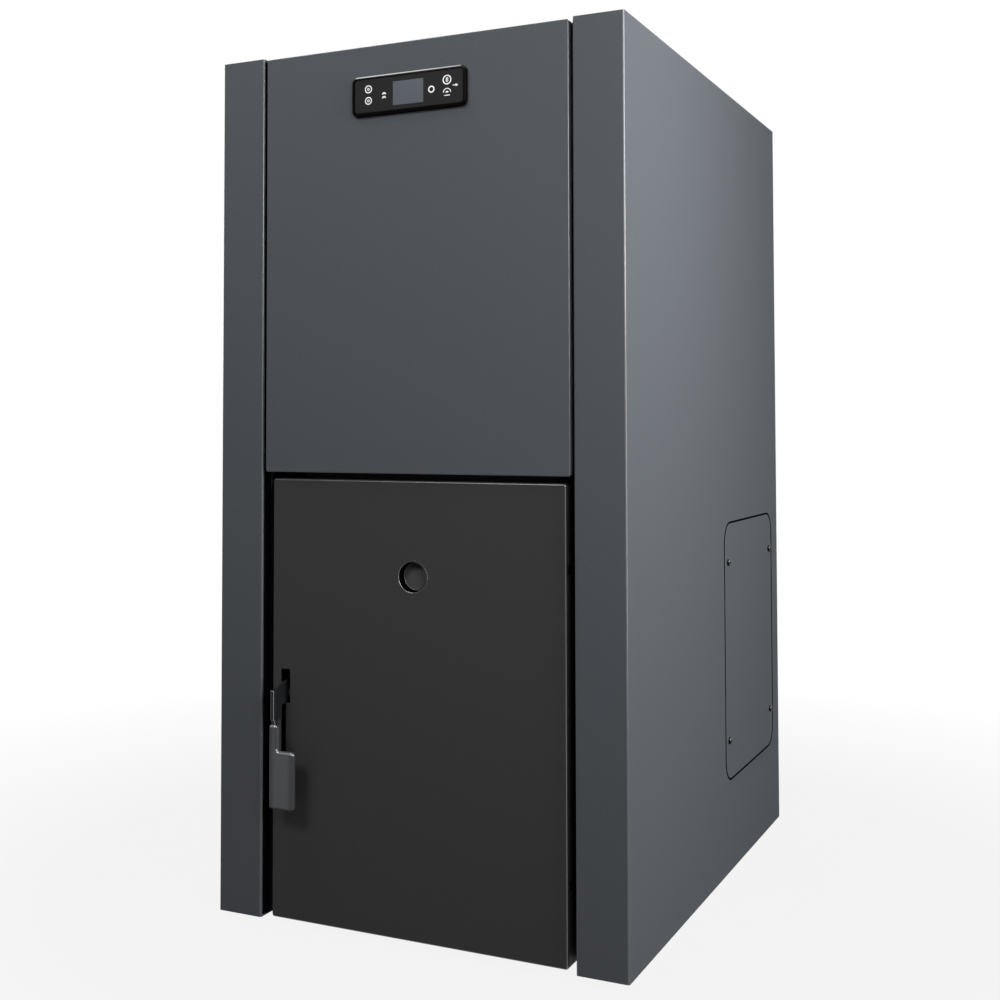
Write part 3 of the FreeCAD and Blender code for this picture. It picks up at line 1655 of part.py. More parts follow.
def latch_striker():
    """Stud on the edge of the front plate that the hook pulls on."""
    start = (-plate_half - striker_length, striker_y, striker_z)
    return rod("x", start, striker_length, striker_radius)


# Display


def display_bezel():
    """Raised frame round the keypad, with a window at the back for the screen."""
    outline = display_outline(bezel_width / 2, bezel_height / 2)
    frame = prism("xz", outline, bezel_front_y, front_y, bezel_radius)
    frame = filleted(frame, bezel_edge_radius, lambda middle: abs(middle.y - bezel_front_y) < 1e-3)
    seat = display_outline(overlay_half_width + overlay_gap, overlay_half_height + overlay_gap)
    pocket = prism("xz", seat, bezel_front_y, overlay_back_y, overlay_radius + overlay_gap)
    screen = display_outline(window_width / 2, window_height / 2, window_drop)
    return without(frame, [pocket, prism("xz", screen, overlay_back_y, front_y)])


def keypad_overlay():
    """Touch keypad sheet with an opening for the screen."""
    outline = display_outline(overlay_half_width, overlay_half_height)
    overlay = prism("xz", outline, overlay_front_y, overlay_back_y, overlay_radius)
    screen = display_outline(window_width / 2, window_height / 2, window_drop)
    return overlay.cut(prism("xz", screen, overlay_front_y, overlay_back_y, window_corner))


def display_window():
    """Clear window over the screen."""
    half_wide = window_width / 2 - window_gap
    half_high = window_height / 2 - window_gap
    outline = display_outline(half_wide, half_high, window_drop)
    return prism("xz", outline, overlay_front_y + window_inset, overlay_back_y, window_corner)


def display_board():
    """Circuit board behind the panel, with the screen block and four standoffs."""
    board_y = front_y + sheet + board_standoff
    half_wide = window_width / 2 - window_corner
    half_high = window_height / 2 - window_corner
    screen = prism("xz", display_outline(half_wide, half_high, window_drop), overlay_back_y, board_y)
    board_half_wide = overlay_half_width - board_inset
    board_half_high = overlay_half_height + board_inset
    outline = display_outline(board_half_wide, board_half_high)
    board = prism("xz", outline, board_y, board_y + board_thickness)
    pieces = [board, screen]
    for x in (-board_half_wide + board_corner, board_half_wide - board_corner):
        for rise in (-board_half_high + board_corner, board_half_high - board_corner):
            start = (x, front_y + sheet, display_z + rise)
            pieces.append(rod("y", start, board_standoff, board_standoff_radius))
    return joined(pieces)


# Mains inlet


def rocker_tip_radius():
    """Reach of the rocker's front corners from its axis."""
    return math.hypot(rocker_front, rocker_half_height)


def switch_half_width():
    """Half width of the switch body."""
    return rocker_width / 2 + side_play + switch_wall


def switch_half_height():
    """Half height of the switch body."""
    return rocker_tip_radius() + rocker_tip_gap + switch_wall


def switch_outline(half_wide, half_high):
    """Outline centred on the mains switch."""
    return rectangle(inlet_x - half_wide, inlet_x + half_wide, switch_z - half_high, switch_z + half_high)


def power_switch_frame():
    """Snap-in housing of the mains switch."""
    half_wide = switch_half_width()
    half_high = switch_half_height()
    cavity_back_y = rocker_y - math.hypot(rocker_back, rocker_back_half) - rocker_tip_gap
    body_back_y = cavity_back_y - switch_wall
    front_face_y = rear_face_y + switch_flange_depth
    body = prism("xz", switch_outline(half_wide, half_high), body_back_y, rear_face_y)
    flange_outline = switch_outline(
        half_wide + switch_flange_margin, half_high + switch_flange_margin
    )
    flange = prism("xz", flange_outline, rear_face_y, front_face_y, switch_flange_margin)
    inside = switch_outline(half_wide - switch_wall, half_high - switch_wall)
    cavity = prism("xz", inside, cavity_back_y, front_face_y)
    start = (inlet_x - half_wide, rocker_y, switch_z)
    axle_hole = rod("x", start, 2 * half_wide, trunnion_radius + running_gap)
    return without(joined([body, flange]), [cavity, axle_hole])


def power_switch_rocker():
    """Rocker of the mains switch, resting with its upper half pressed in."""
    points = [
        (rocker_y + rocker_front, switch_z - rocker_half_height),
        (rocker_y + rocker_valley, switch_z),
        (rocker_y + rocker_front, switch_z + rocker_half_height),
        (rocker_y - rocker_back, switch_z + rocker_back_half),
        (rocker_y - rocker_back, switch_z - rocker_back_half),
    ]
    half = rocker_width / 2
    body = prism("yz", points, inlet_x - half, inlet_x + half)
    start = (inlet_x - half - trunnion_length, rocker_y, switch_z)
    rocker = body.fuse(rod("x", start, 2 * (half + trunnion_length), trunnion_radius))
    rocker.rotate(Vector(inlet_x, rocker_y, switch_z), AXES["x"], rocker_swing)
    return rocker


def cable_gland():
    """Gland for the mains cable with its nut inside the rear panel."""
    thread_start = (inlet_x, rear_face_y - gland_inside, gland_z)
    thread = rod("y", thread_start, gland_inside, gland_thread_radius)
    flats = hexagon((inlet_x, gland_z), gland_across)
    hex_end_y = rear_face_y + gland_hex_depth
    collar = prism("xz", flats, rear_face_y, hex_end_y)
    nut = prism("xz", flats, rear_inner_y - gland_nut_depth, rear_inner_y)
    dome = rod("y", (inlet_x, hex_end_y, gland_z), gland_dome_depth, gland_dome_radius)
    length = gland_inside + gland_hex_depth + gland_dome_depth
    return joined([thread, collar, nut, dome]).cut(rod("y", thread_start, length, gland_bore))


PIECES = [
    base_frame,
    levelling_feet,
    side_panel_left,
    side_panel_right,
    service_cover,
    service_cover_screws,
    front_cross_rails,
    upper_front_panel,
    top_panel,
    rear_panel,
    rear_panel_screws,
    hopper,
    hopper_funnel,
    hopper_lid,
    lid_seal,
    lid_hinge_blocks,
    lid_hinge_pins,
    auger_tube,
    auger_screw,
    auger_gearbox,
    auger_motor,
    boiler_front_plate,
    firebox,
    water_jacket,
    smoke_tubes,
    cleaning_hatch,
    hatch_knobs,
    burner_air_box,
    burner_pot,
    igniter,
    ash_pan,
    smoke_duct,
    fan_housing,
    fan_impeller,
    fan_motor,
    flue_pipe,
    air_inlet_pipe,
    supply_pipe,
    return_pipe,
    circulation_pump,
    drain_cock,
    door_skin,
    door_plate,
    door_insulation,
    door_fire_board,
    door_seal,
    sight_port_cup,
    door_hinge_arms,
    door_hinge_pins,
    latch_lever,
    latch_grip,
    latch_pivot_pin,
    latch_striker,
    display_bezel,
    keypad_overlay,
    display_window,
    display_board,
    power_switch_frame,
    power_switch_rocker,
    cable_gland,
]


def main():
    """Build every piece and write it to its own file."""
    os.makedirs("parts", exist_ok=True)
    for piece in PIECES:
        shape = piece()
        shape.exportStep("parts/" + piece.__name__ + ".step")
        litres = shape.Volume / 1e6
        print(piece.__name__, shape.isValid(), len(shape.Solids), round(litres, 4))


main()
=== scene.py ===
"""Looks of a free-standing pellet boiler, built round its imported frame, in metres."""
import json
import math

import bmesh
import bpy
from bpy.props import FloatProperty, FloatVectorProperty, IntProperty, PointerProperty
from mathutils import Matrix, Vector

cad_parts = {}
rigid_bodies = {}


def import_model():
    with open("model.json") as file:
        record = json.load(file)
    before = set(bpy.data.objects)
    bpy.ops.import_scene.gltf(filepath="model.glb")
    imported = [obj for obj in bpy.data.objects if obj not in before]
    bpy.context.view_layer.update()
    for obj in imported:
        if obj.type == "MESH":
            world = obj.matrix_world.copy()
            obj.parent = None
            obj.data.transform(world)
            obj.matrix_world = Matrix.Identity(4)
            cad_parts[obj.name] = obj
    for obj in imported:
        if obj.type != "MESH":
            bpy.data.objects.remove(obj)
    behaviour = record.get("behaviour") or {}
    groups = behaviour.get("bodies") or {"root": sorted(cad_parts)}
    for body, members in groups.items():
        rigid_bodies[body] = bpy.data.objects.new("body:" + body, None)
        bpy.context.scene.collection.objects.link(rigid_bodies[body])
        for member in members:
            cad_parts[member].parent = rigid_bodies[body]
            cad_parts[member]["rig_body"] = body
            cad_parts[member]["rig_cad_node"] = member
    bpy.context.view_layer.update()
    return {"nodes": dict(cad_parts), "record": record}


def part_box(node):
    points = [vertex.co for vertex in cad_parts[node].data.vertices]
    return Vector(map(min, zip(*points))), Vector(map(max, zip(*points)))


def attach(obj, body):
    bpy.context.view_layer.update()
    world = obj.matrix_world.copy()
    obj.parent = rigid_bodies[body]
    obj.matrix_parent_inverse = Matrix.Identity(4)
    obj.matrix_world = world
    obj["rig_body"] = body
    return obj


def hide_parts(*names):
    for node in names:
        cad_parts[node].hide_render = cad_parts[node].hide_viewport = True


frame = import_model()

bl_info = {
    "name": "Pellet boiler looks",
    "version": (1, 0, 0),
    "blender": (4, 5, 0),
    "location": "View3D > Sidebar > Boiler",
    "description": "Finishes and fine pieces of a free-standing pellet boiler",
    "category": "Object",
}

MM = 0.001


def linear(colour):
    """Linear light of an sRGB hex colour."""
    channels = [int(colour[start:start + 2], 16) / 255 for start in (1, 3, 5)]
    light = [c / 12.92 if c <= 0.04045 else ((c + 0.055) / 1.055) ** 2.4 for c in channels]
    return (*light, 1.0)


def length(name, description, millimetres):
    """Size that a user may change, given in millimetres."""
    return FloatProperty(
        name=name, description=description, default=millimetres * MM, min=0.0, unit="LENGTH", precision=5
    )


def count(name, description, default, low, high):
    """Number of like things that a user may change."""
    return IntProperty(name=name, description=description, default=default, min=low, max=high)


def angle(name, description, default):
    """Angle that a user may change, in radians."""
    return FloatProperty(name=name, description=description, subtype="ANGLE", default=default)


def spot(name, description, default):
    """Place that a user may change, in metres."""
    return FloatVectorProperty(
        name=name, description=description, subtype="TRANSLATION", unit="LENGTH", default=default
    )


def colour(name, description, default):
    """Colour that a user may change, given as an sRGB hex value."""
    return FloatVectorProperty(
        name=name, description=description, subtype="COLOR", size=4, min=0.0, max=1.0, default=linear(default)
    )


# Sizes and colours


class BoilerColours(bpy.types.PropertyGroup):
    """Colours of the finishes that show most."""

    casing: colour("Casing", "Powder coat of the casing panels", "#4c4f53")
    door: colour("Door", "Powder coat of the fire door", "#373737")
    grip: colour("Grip", "Moulded grip of the door latch", "#535457")
    keypad: colour("Keypad", "Film over the touch keys", "#151515")
    screen: colour("Screen", "Unlit liquid crystal screen", "#41474f")
    lever: colour("Lever", "Powder coat of the latch lever", "#202124")
    # The disc is coloured lighter than the door to paint light into the shaded well
    disc: colour("Disc", "Powder coat of the disc that closes the port", "#484848")


class LatchSizes(bpy.types.PropertyGroup):
    """Sizes of the latch that the frame's boxes don't give."""

    neck_width: length("Neck width", "Width of the grip over its paddle", 12.5)
    neck_height: length("Neck height", "Height of the grip over its paddle", 35.0)
    paddle_depth: length("Paddle depth", "Thickness of the grip's paddle", 6.5)
    spine_width: length("Spine width", "Width of the rib that holds the lever", 9.0)
    corner_round: length("Corner round", "Radius of the paddle's corners", 5.0)
    waist_round: length("Waist round", "Radius of the inner corner under the neck", 4.0)
    edge_round: length("Edge round", "Radius along the paddle's front edge", 4.2)
    lever_round: length("Lever round", "Radius along the lever's edges", 1.3)


class DisplaySizes(bpy.types.PropertyGroup):
    """Sizes of the display that the frame's boxes don't give."""

    frame_ring: length("Frame ring", "Width of the raised frame round the keypad", 4.2)
    frame_corner: length("Frame corner", "Radius of the frame's corners", 8.0)
    frame_slope: length("Frame slope", "Width of the slope round the frame's front", 2.2)
    frame_fall: length("Frame fall", "Depth of the slope round the frame's front", 1.25)
    frame_round: length("Frame round", "Radius along the frame's front edges", 0.4)
    film_depth: length("Film depth", "Thickness of the keypad film", 0.6)
    film_corner: length("Film corner", "Radius of the keypad film's corners", 4.5)
    film_round: length("Film round", "Radius along the keypad film's edge", 0.35)
    print_depth: length("Print depth", "Height of the printed symbols, drawn thicker than ink", 0.08)


class SealSizes(bpy.types.PropertyGroup):
    """Sizes of the soft seals."""

    rope_width: length("Rope width", "Width of the pressed door rope", 14.0)
    rope_bend: length("Rope bend", "Radius of the rope's middle at the corners", 9.0)
    stitch_pitch: length("Stitch pitch", "Length of one stitch of the knitted rope", 6.5)
    stitch_columns: count("Stitch columns", "Stitches round the rope", 10, 4, 16)
    gasket_width: length("Gasket width", "Width of the lid gasket", 12.0)
    gasket_round: length("Gasket round", "Radius along the lid gasket's edges", 2.6)


class FittingSizes(bpy.types.PropertyGroup):
    """Sizes of the port, the service cover, the feet and the mains inlet."""

    port_radius: length("Port radius", "Radius of the blind port in the door", 21.0)
    rim_round: length("Rim round", "Radius of the port's rolled edge", 0.9)
    collar_width: length("Collar width", "Width of the port's pressed collar", 2.0)
    collar_height: length("Collar height", "Height of the port's pressed collar", 0.1)
    well_radius: length("Well radius", "Radius of the port behind its step", 18.9)
    well_depth: length("Well depth", "Depth of the port's floor behind the door's face", 13.0)
    step_depth: length("Step depth", "Depth of the port's step behind the door's face", 2.3)
    bead_radius: length("Bead radius", "Radius of the bead round the port's disc", 0.45)
    cover_round: length("Cover round", "Radius along the service cover's edge", 1.0)
    cover_corner: length("Cover corner", "Radius of the service cover's corners", 31.0)
    groove_width: length("Groove width", "Width of the groove round the service cover", 3.0)
    # The cord is a matt black ring that paints shade into the groove round the service cover
    cord_depth: length("Cord depth", "Thickness of the black cord in the groove", 2.3)
    # The strips below are matt black sheets that paint shade into the gaps beside the door
    strip_depth: length("Strip depth", "Thickness of the felt strips on the column returns", 1.0)
    strip_inset: length("Strip inset", "Distance of the felt strips behind the columns' faces", 3.6)
    strip_width: length("Strip width", "Width of the felt strips", 16.0)
    strip_clear: length("Strip clear", "Distance that the right strip stands back for the opening door", 1.8)
    foot_radius: length("Foot radius", "Radius of the levelling feet", 20.0)
    foot_height: length("Foot height", "Height of the levelling feet's pads", 8.0)
    gland_round: length("Gland round", "Radius along the cable gland's edges", 0.6)
    gland_cap: length("Gland cap", "Radius of the cable gland's cap", 9.0)
    gland_bore: length("Gland bore", "Radius of the cable gland's bore", 4.5)
    gland_ridges: count("Gland ridges", "Ridges round the cable gland's cap", 14, 6, 24)
    ridge_start: length("Ridge start", "Distance of the ridges' inner ends from the gland's end", 6.0)
    ridge_end: length("Ridge end", "Distance of the ridges' outer ends from the gland's end", 1.2)
    bush_lip: length("Bush lip", "Inner radius of the rubber bush's flat lip", 3.15)
    bush_hole: length("Bush hole", "Radius of the hole in the rubber bush", 2.7)
    bush_depth: length("Bush depth", "Depth of the hole in the rubber bush", 5.4)
    bush_skirt: length("Bush skirt", "Depth of the rubber bush's outer wall", 3.6)
    switch_round: length("Switch round", "Radius along the mains switch's edges", 0.6)
    mark_width: length("Mark width", "Width of the switch's on mark", 1.3)
    mark_height: length("Mark height", "Height of the switch's on mark", 6.0)
    mark_radius: length("Mark radius", "Radius of the switch's off mark", 3.2)
    mark_ring: length("Mark ring", "Width of the off mark's line", 1.2)


class StageSettings(bpy.types.PropertyGroup):
    """Camera and light of the studio."""

    camera_place: spot("Camera place", "Where the camera stands", (0.8493, -2.0064, 0.6862))
    camera_turn: angle("Camera turn", "Turn to the left from looking along +Y", 0.45244)
    camera_rise: angle("Camera rise", "Tilt up from level", 0.03761)
    camera_roll: angle("Camera roll", "Lean to the right from upright", 0.00111)
    lens: FloatProperty(
        name="Lens", description="Focal length on a 36 mm sensor, in millimetres", default=49.528
    )
    shift: FloatVectorProperty(
        name="Shift", description="Shift of the picture as a share of its width", size=2,
        default=(0.0437, -0.1272),
    )
    fill: FloatProperty(name="Fill", description="Even light from all round", default=0.1, min=0.0)
    floor_size: length("Floor size", "Length of the studio floor's sides", 40000.0)
    card_low: spot("Card low", "Low corner of the card that shades the low front", (-2.1, -3.22, 0.001))
    card_high: spot("Card high", "High corner of the card that shades the low front", (0.9, -0.82, 0.002))


# Shader nodes

WHITE = (1.0, 1.0, 1.0, 1.0)
NOISE = "ShaderNodeTexNoise"
CELLS = "ShaderNodeTexVoronoi"


def fill_inputs(node, inputs):
    """Set or link the inputs of a shader node; a node given as a value is linked by its first output."""
    for name, value in inputs.items():
        if isinstance(value, bpy.types.Node):
            value = value.outputs[0]
        if isinstance(value, bpy.types.NodeSocket):
            node.id_data.links.new(value, node.inputs[name])
        else:
            node.inputs[name].default_value = value


def add_node(material, kind, inputs=None, stops=(), **settings):
    """Add a shader node with its settings and its ramp's stops, and set or link its inputs."""
    node = material.node_tree.nodes.new(kind)
    for name, value in settings.items():
        setattr(node, name, value)
    for number, (position, shade) in enumerate(stops):
        node.color_ramp.elements[number].position = position
        node.color_ramp.elements[number].color = shade
    fill_inputs(node, inputs or {})
    return node


def start_finish(name, base, roughness, metallic=0.0, specular=0.5):
    """Material with one glossy shader, its plain values set on the shader itself."""
    material = bpy.data.materials.new(name)
    material.use_nodes = True
    shader = material.node_tree.nodes["Principled BSDF"]
    base = linear(base) if isinstance(base, str) else base
    values = {"Base Color": base, "Roughness": roughness, "Metallic": metallic, "Specular IOR Level": specular}
    fill_inputs(shader, values)
    return material, shader


def shade_from(shader, shade):
    """Linear colour of a shade that is a hex value or a factor of the shader's own colour."""
    if isinstance(shade, str):
        return linear(shade)
    own = shader.inputs["Base Color"].default_value
    return (*(min(channel * shade, 1.0) for channel in own[:3]), 1.0)


def pattern_of(material, kind, size, inputs=None, stretch=None, **settings):
    """Pattern over the piece's own place, whose features have a real size in millimetres."""
    place = add_node(material, "ShaderNodeTexCoord").outputs["Object"]
    if stretch:
        place = add_node(material, "ShaderNodeMapping", {"Vector": place, "Scale": stretch})
    values = {"Vector": place, "Scale": 1 / (size * MM)}
    return add_node(material, kind, {**values, **(inputs or {})}, **settings)


def weather(material, shader, pattern, shades=None, span=(0.3, 0.7), spread=None, relief=None):
    """Let a pattern vary the shade, the roughness and the relief of a finish.

    The shades lie at the two ends of a span of the pattern's values, the spread is the lowest and the highest
    roughness, and the relief is a strength and a depth in millimetres.
    """
    if shades:
        stops = [(position, shade_from(shader, shade)) for position, shade in zip(span, shades)]
        ramp = add_node(material, "ShaderNodeValToRGB", {"Fac": pattern}, stops)
        fill_inputs(shader, {"Base Color": ramp})
    if spread:
        low, high = spread
        limits = {"Value": pattern, "To Min": low, "To Max": high}
        fill_inputs(shader, {"Roughness": add_node(material, "ShaderNodeMapRange", limits)})
    if relief:
        strength, depth = relief
        height = {"Height": pattern, "Strength": strength, "Distance": depth * MM}
        fill_inputs(shader, {"Normal": add_node(material, "ShaderNodeBump", height)})


# Masks

# Largest part of a normal on a flat face, on a full bend, and on a bend that shows from early on
FLAT = 0.99
BENT = 0.75
EARLY = 0.93
# Rise of a normal from which a surface leans up, and from which it fully counts
LEANING = 0.1
RISEN = 0.4
# Shares of a grip's half width up to which its face has no painted shade, and from which the painted shade is
# full
UNSHADED_SHARE = 0.4
FULL_SHADE_SHARE = 0.95
# Factor on the colour of a finish where painted shade darkens its bends and a grip's sides
PAINTED_SHADE = 0.5


def bend_mask(material, bent):
    """1 on the rounded bends of a square-built piece and 0 on its flat faces."""
    facing = add_node(material, "ShaderNodeTexCoord").outputs["Normal"]
    size = add_node(material, "ShaderNodeVectorMath", {0: facing}, operation="ABSOLUTE")
    parts = add_node(material, "ShaderNodeSeparateXYZ", {"Vector": size}).outputs
    largest = parts["X"]
    for name in ("Y", "Z"):
        largest = add_node(material, "ShaderNodeMath", {0: largest, 1: parts[name]}, operation="MAXIMUM")
    return add_node(material, "ShaderNodeMapRange", {"Value": largest, "From Min": FLAT, "From Max": bent})


def upper_mask(material):
    """1 where the surface leans up and 0 where it stands or hangs."""
    facing = add_node(material, "ShaderNodeTexCoord").outputs["Normal"]
    rise = add_node(material, "ShaderNodeSeparateXYZ", {"Vector": facing}).outputs["Z"]
    return add_node(material, "ShaderNodeMapRange", {"Value": rise, "From Min": LEANING, "From Max": RISEN})


def side_shade_mask(material, node):
    """Painted shade: 0 over the middle of a piece and 1 at its left and right sides, which are painted darker.
    """
    low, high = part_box(node)
    half = (high.x - low.x) / 2
    place = add_node(material, "ShaderNodeTexCoord").outputs["Object"]
    across = add_node(material, "ShaderNodeSeparateXYZ", {"Vector": place}).outputs["X"]
    shifted = add_node(material, "ShaderNodeMath", {0: across, 1: low.x + half}, operation="SUBTRACT")
    away = add_node(material, "ShaderNodeMath", {0: shifted}, operation="ABSOLUTE")
    limits = {"Value": away, "From Min": UNSHADED_SHARE * half, "From Max": FULL_SHADE_SHARE * half}
    return add_node(material, "ShaderNodeMapRange", limits, interpolation_type="SMOOTHSTEP")


def gloss_bends(material, shader, roughness, index, upper_only=False, bent=BENT):
    """Clear gloss on the rounded bends only, where a coat or a moulding's skin is drawn smooth."""
    bends = bend_mask(material, bent)
    weight = bends
    if upper_only:
        weight = add_node(material, "ShaderNodeMath", {0: bends, 1: upper_mask(material)}, operation="MULTIPLY")
    fill_inputs(shader, {"Coat Weight": weight, "Coat Roughness": roughness, "Coat IOR": index})
    return bends


def paint_shade(material, shader, mask):
    """Paint shade into a finish: take its colour down where a mask is 1."""
    skin = shader.inputs["Base Color"].links[0].from_socket
    shades = {"Fac": mask, "Color1": skin, "Color2": shade_from(shader, PAINTED_SHADE)}
    fill_inputs(shader, {"Base Color": add_node(material, "ShaderNodeMixRGB", shades)})


# Finishes


def tint(name):
    """Colour that the settings give to a finish."""
    return getattr(bpy.context.scene.boiler_colours, name)


def grained(name, base, roughness, size, detail, stretch=None, metallic=0.0, specular=0.5, **looks):
    """Finish that follows one noise, whose features have a real size in millimetres."""
    material, shader = start_finish(name, base, roughness, metallic, specular)
    weather(material, shader, pattern_of(material, NOISE, size, {"Detail": detail}, stretch), **looks)
    return material


def powder_coat(name, base, roughness, specular, index=1.7, gloss=0.26, bent=BENT):
    """Cured polyester powder on sheet steel: an even satin skin, glossy round the bends, with painted shade
    darkening the bends.
    """
    material, shader = start_finish(name, base, roughness, specular=specular)
    bends = gloss_bends(material, shader, gloss, index, bent=bent)
    # The real grain is about 0.3 mm; it is drawn at 1.3 mm so that it shows
    grain = pattern_of(material, NOISE, 1.3, {"Detail": 2.0})
    cloud = pattern_of(material, NOISE, 240.0, {"Detail": 3.0})
    weather(material, shader, grain, shades=(0.93, 1.07), relief=(0.25, 0.08))
    weather(material, shader, cloud, spread=(roughness - 0.05, roughness + 0.05))
    # Painted shade: the colour is taken down on the bends
    paint_shade(material, shader, bends)
    return material


def moulded_plastic(name, base, roughness, specular, index, upper_only=False, bent=BENT, shaded_sides_of=None):
    """Injection-moulded plastic: its gloss broken by the fine grain of the tool, with painted shade darkening
    its bends and, on a grip, its sides.
    """
    material, shader = start_finish(name, base, roughness, specular=specular)
    dark = gloss_bends(material, shader, 0.18, index, upper_only, bent)
    # Painted shade on the left and right sides of the named piece
    if shaded_sides_of:
        sides = side_shade_mask(material, shaded_sides_of)
        dark = add_node(material, "ShaderNodeMath", {0: dark, 1: sides}, operation="MAXIMUM")
    # The real grain is about 0.1 mm; it is drawn at 0.6 mm so that it shows
    grain = pattern_of(material, NOISE, 0.6, {"Detail": 2.0})
    spread = (roughness - 0.05, roughness + 0.05)
    weather(material, shader, grain, shades=(0.9, 1.1), spread=spread, relief=(0.12, 0.04))
    # Painted shade: the colour is taken down on the bends and, on a grip, its left and right sides
    paint_shade(material, shader, dark)
    return material


def casing_coat():
    """Anthracite coat of the casing."""
    return powder_coat("anthracite_powder_coat", tint("casing"), roughness=0.4, specular=0.0)


def cover_coat():
    """Anthracite coat of the service cover, with more gloss on its punched edge."""
    return powder_coat("anthracite_cover_coat", tint("casing"), roughness=0.4, specular=0.0, index=2.6)


def door_coat():
    """Black coat of the fire door."""
    return powder_coat("black_powder_coat", tint("door"), roughness=0.45, specular=0.04, index=2.4)


def lit_disc_coat():
    """Grey-black coat of the disc in the port, lighter than the door's coat: painted light that offsets the
    shade in the well.
    """
    return powder_coat("grey_black_powder_coat", tint("disc"), roughness=0.45, specular=0.04, index=2.4)


def lever_coat():
    """Dark grey coat of the latch lever, with a sharp gloss on its edges."""
    return powder_coat(
        "dark_grey_powder_coat", tint("lever"), roughness=0.38, specular=0.1, index=3.8, gloss=0.14, bent=EARLY
    )


def matt_black(name):
    """Matt black that swallows the light, with faint streaks of its making."""
    return grained(
        name, "#060606", roughness=0.9, specular=0.0, size=2.0, detail=2.0,
        shades=("#040404", "#0a0a0a"), relief=(0.2, 0.1),
    )


def well_shade_black():
    """Matt black down the port's well: painted shade for the well's dark inside."""
    return matt_black("matt_black_enamel")


def black_felt():
    """Matt black of the strips beside the door: painted shade that keeps the gaps dark."""
    return matt_black("black_felt")


def cord_rubber():
    """Matt black of the cord round the service cover: painted shade for the groove."""
    return matt_black("black_cord_rubber")


def galvanised_sheet():
    """Hot-dip zinc on sheet steel: flat crystals a few millimetres wide, each with its own grey."""
    material, shader = start_finish("galvanised_steel", "#9aa0a3", 0.42, metallic=1.0)
    spangle = pattern_of(material, CELLS, 9.0)
    grey = add_node(material, "ShaderNodeSeparateColor", {"Color": spangle.outputs["Color"]}).outputs["Red"]
    weather(material, shader, grey, shades=(0.78, 1.15), span=(0.0, 1.0), spread=(0.34, 0.52))
    return material


def boiler_steel():
    """Heat-proof paint on plate, sooted by the fire: dull black with brown and grey clouds."""
    material, shader = start_finish("sooted_boiler_plate", "#262524", 0.75, specular=0.3)
    soot = pattern_of(material, NOISE, 60.0, {"Detail": 6.0, "Roughness": 0.65})
    grit = pattern_of(material, NOISE, 2.5, {"Detail": 3.0})
    weather(material, shader, soot, shades=("#1a1a1a", "#3b3733"), span=(0.35, 0.7), spread=(0.62, 0.9))
    weather(material, shader, grit, relief=(0.35, 0.25))
    return material


def stainless_steel():
    """Brushed stainless steel: fine scratches along the sheet stretch the reflections."""
    # The real scratches are under 0.1 mm wide; they are drawn at 0.7 mm so that they show
    return grained(
        "brushed_stainless_steel", "#b8b5b0", roughness=0.3, metallic=1.0, size=0.7, detail=2.0,
        stretch=(1.0, 0.03, 1.0), shades=(0.85, 1.1), spread=(0.22, 0.42), relief=(0.15, 0.05),
    )


def zinc_steel():
    """Bright zinc plate: pale metal with a faint blue and straw tint from the passivation."""
    return grained(
        "bright_zinc_plate", "#b5b8ba", roughness=0.3, metallic=1.0, size=7.0, detail=4.0,
        shades=("#a9b0b8", "#c2bda9"), span=(0.35, 0.65), spread=(0.22, 0.4),
    )


def black_steel():
    """Black zinc plate: a dark satin skin with a little of the metal's gloss left."""
    material = grained(
        "black_zinc_plate", "#08080a", roughness=0.3, specular=0.1, size=4.0, detail=5.0,
        shades=("#060607", "#0c0c0e"), span=(0.35, 0.7), spread=(0.24, 0.4),
    )
    shader = material.node_tree.nodes["Principled BSDF"]
    gloss_bends(material, shader, roughness=0.12, index=2.0, upper_only=True)
    return material


def cast_iron():
    """Raw grey casting: the sand of the mould leaves a coarse, dull skin."""
    material, shader = start_finish("raw_cast_iron", "#343331", 0.7, metallic=0.4)
    sand = pattern_of(material, NOISE, 2.0, {"Detail": 4.0, "Roughness": 0.6})
    heat = pattern_of(material, NOISE, 45.0, {"Detail": 3.0})
    weather(material, shader, heat, shades=("#292827", "#4a4038"), span=(0.35, 0.7))
    weather(material, shader, sand, spread=(0.6, 0.85), relief=(0.5, 0.5))
    return material


def cast_aluminium():
    """Sand-cast aluminium: pale, matt and slightly pebbled."""
    return grained(
        "cast_aluminium", "#a3a6a8", roughness=0.5, metallic=1.0, size=1.6, detail=3.0,
        shades=("#8e9193", "#b4b7b9"), spread=(0.42, 0.6), relief=(0.4, 0.3),
    )


def motor_paint():
    """Sprayed enamel on a motor: dark blue-grey with a soft orange peel."""
    return grained(
        "motor_enamel", "#2f363c", roughness=0.35, size=3.0, detail=1.0,
        shades=("#2a3036", "#353d44"), spread=(0.3, 0.42), relief=(0.2, 0.1),
    )


def brass():
    """Turned brass: warm metal with a dulled, slightly spotted skin."""
    return grained(
        "turned_brass", "#b8975a", roughness=0.3, metallic=1.0, size=5.0, detail=5.0,
        shades=("#9a7b45", "#c6a76a"), spread=(0.24, 0.42),
    )


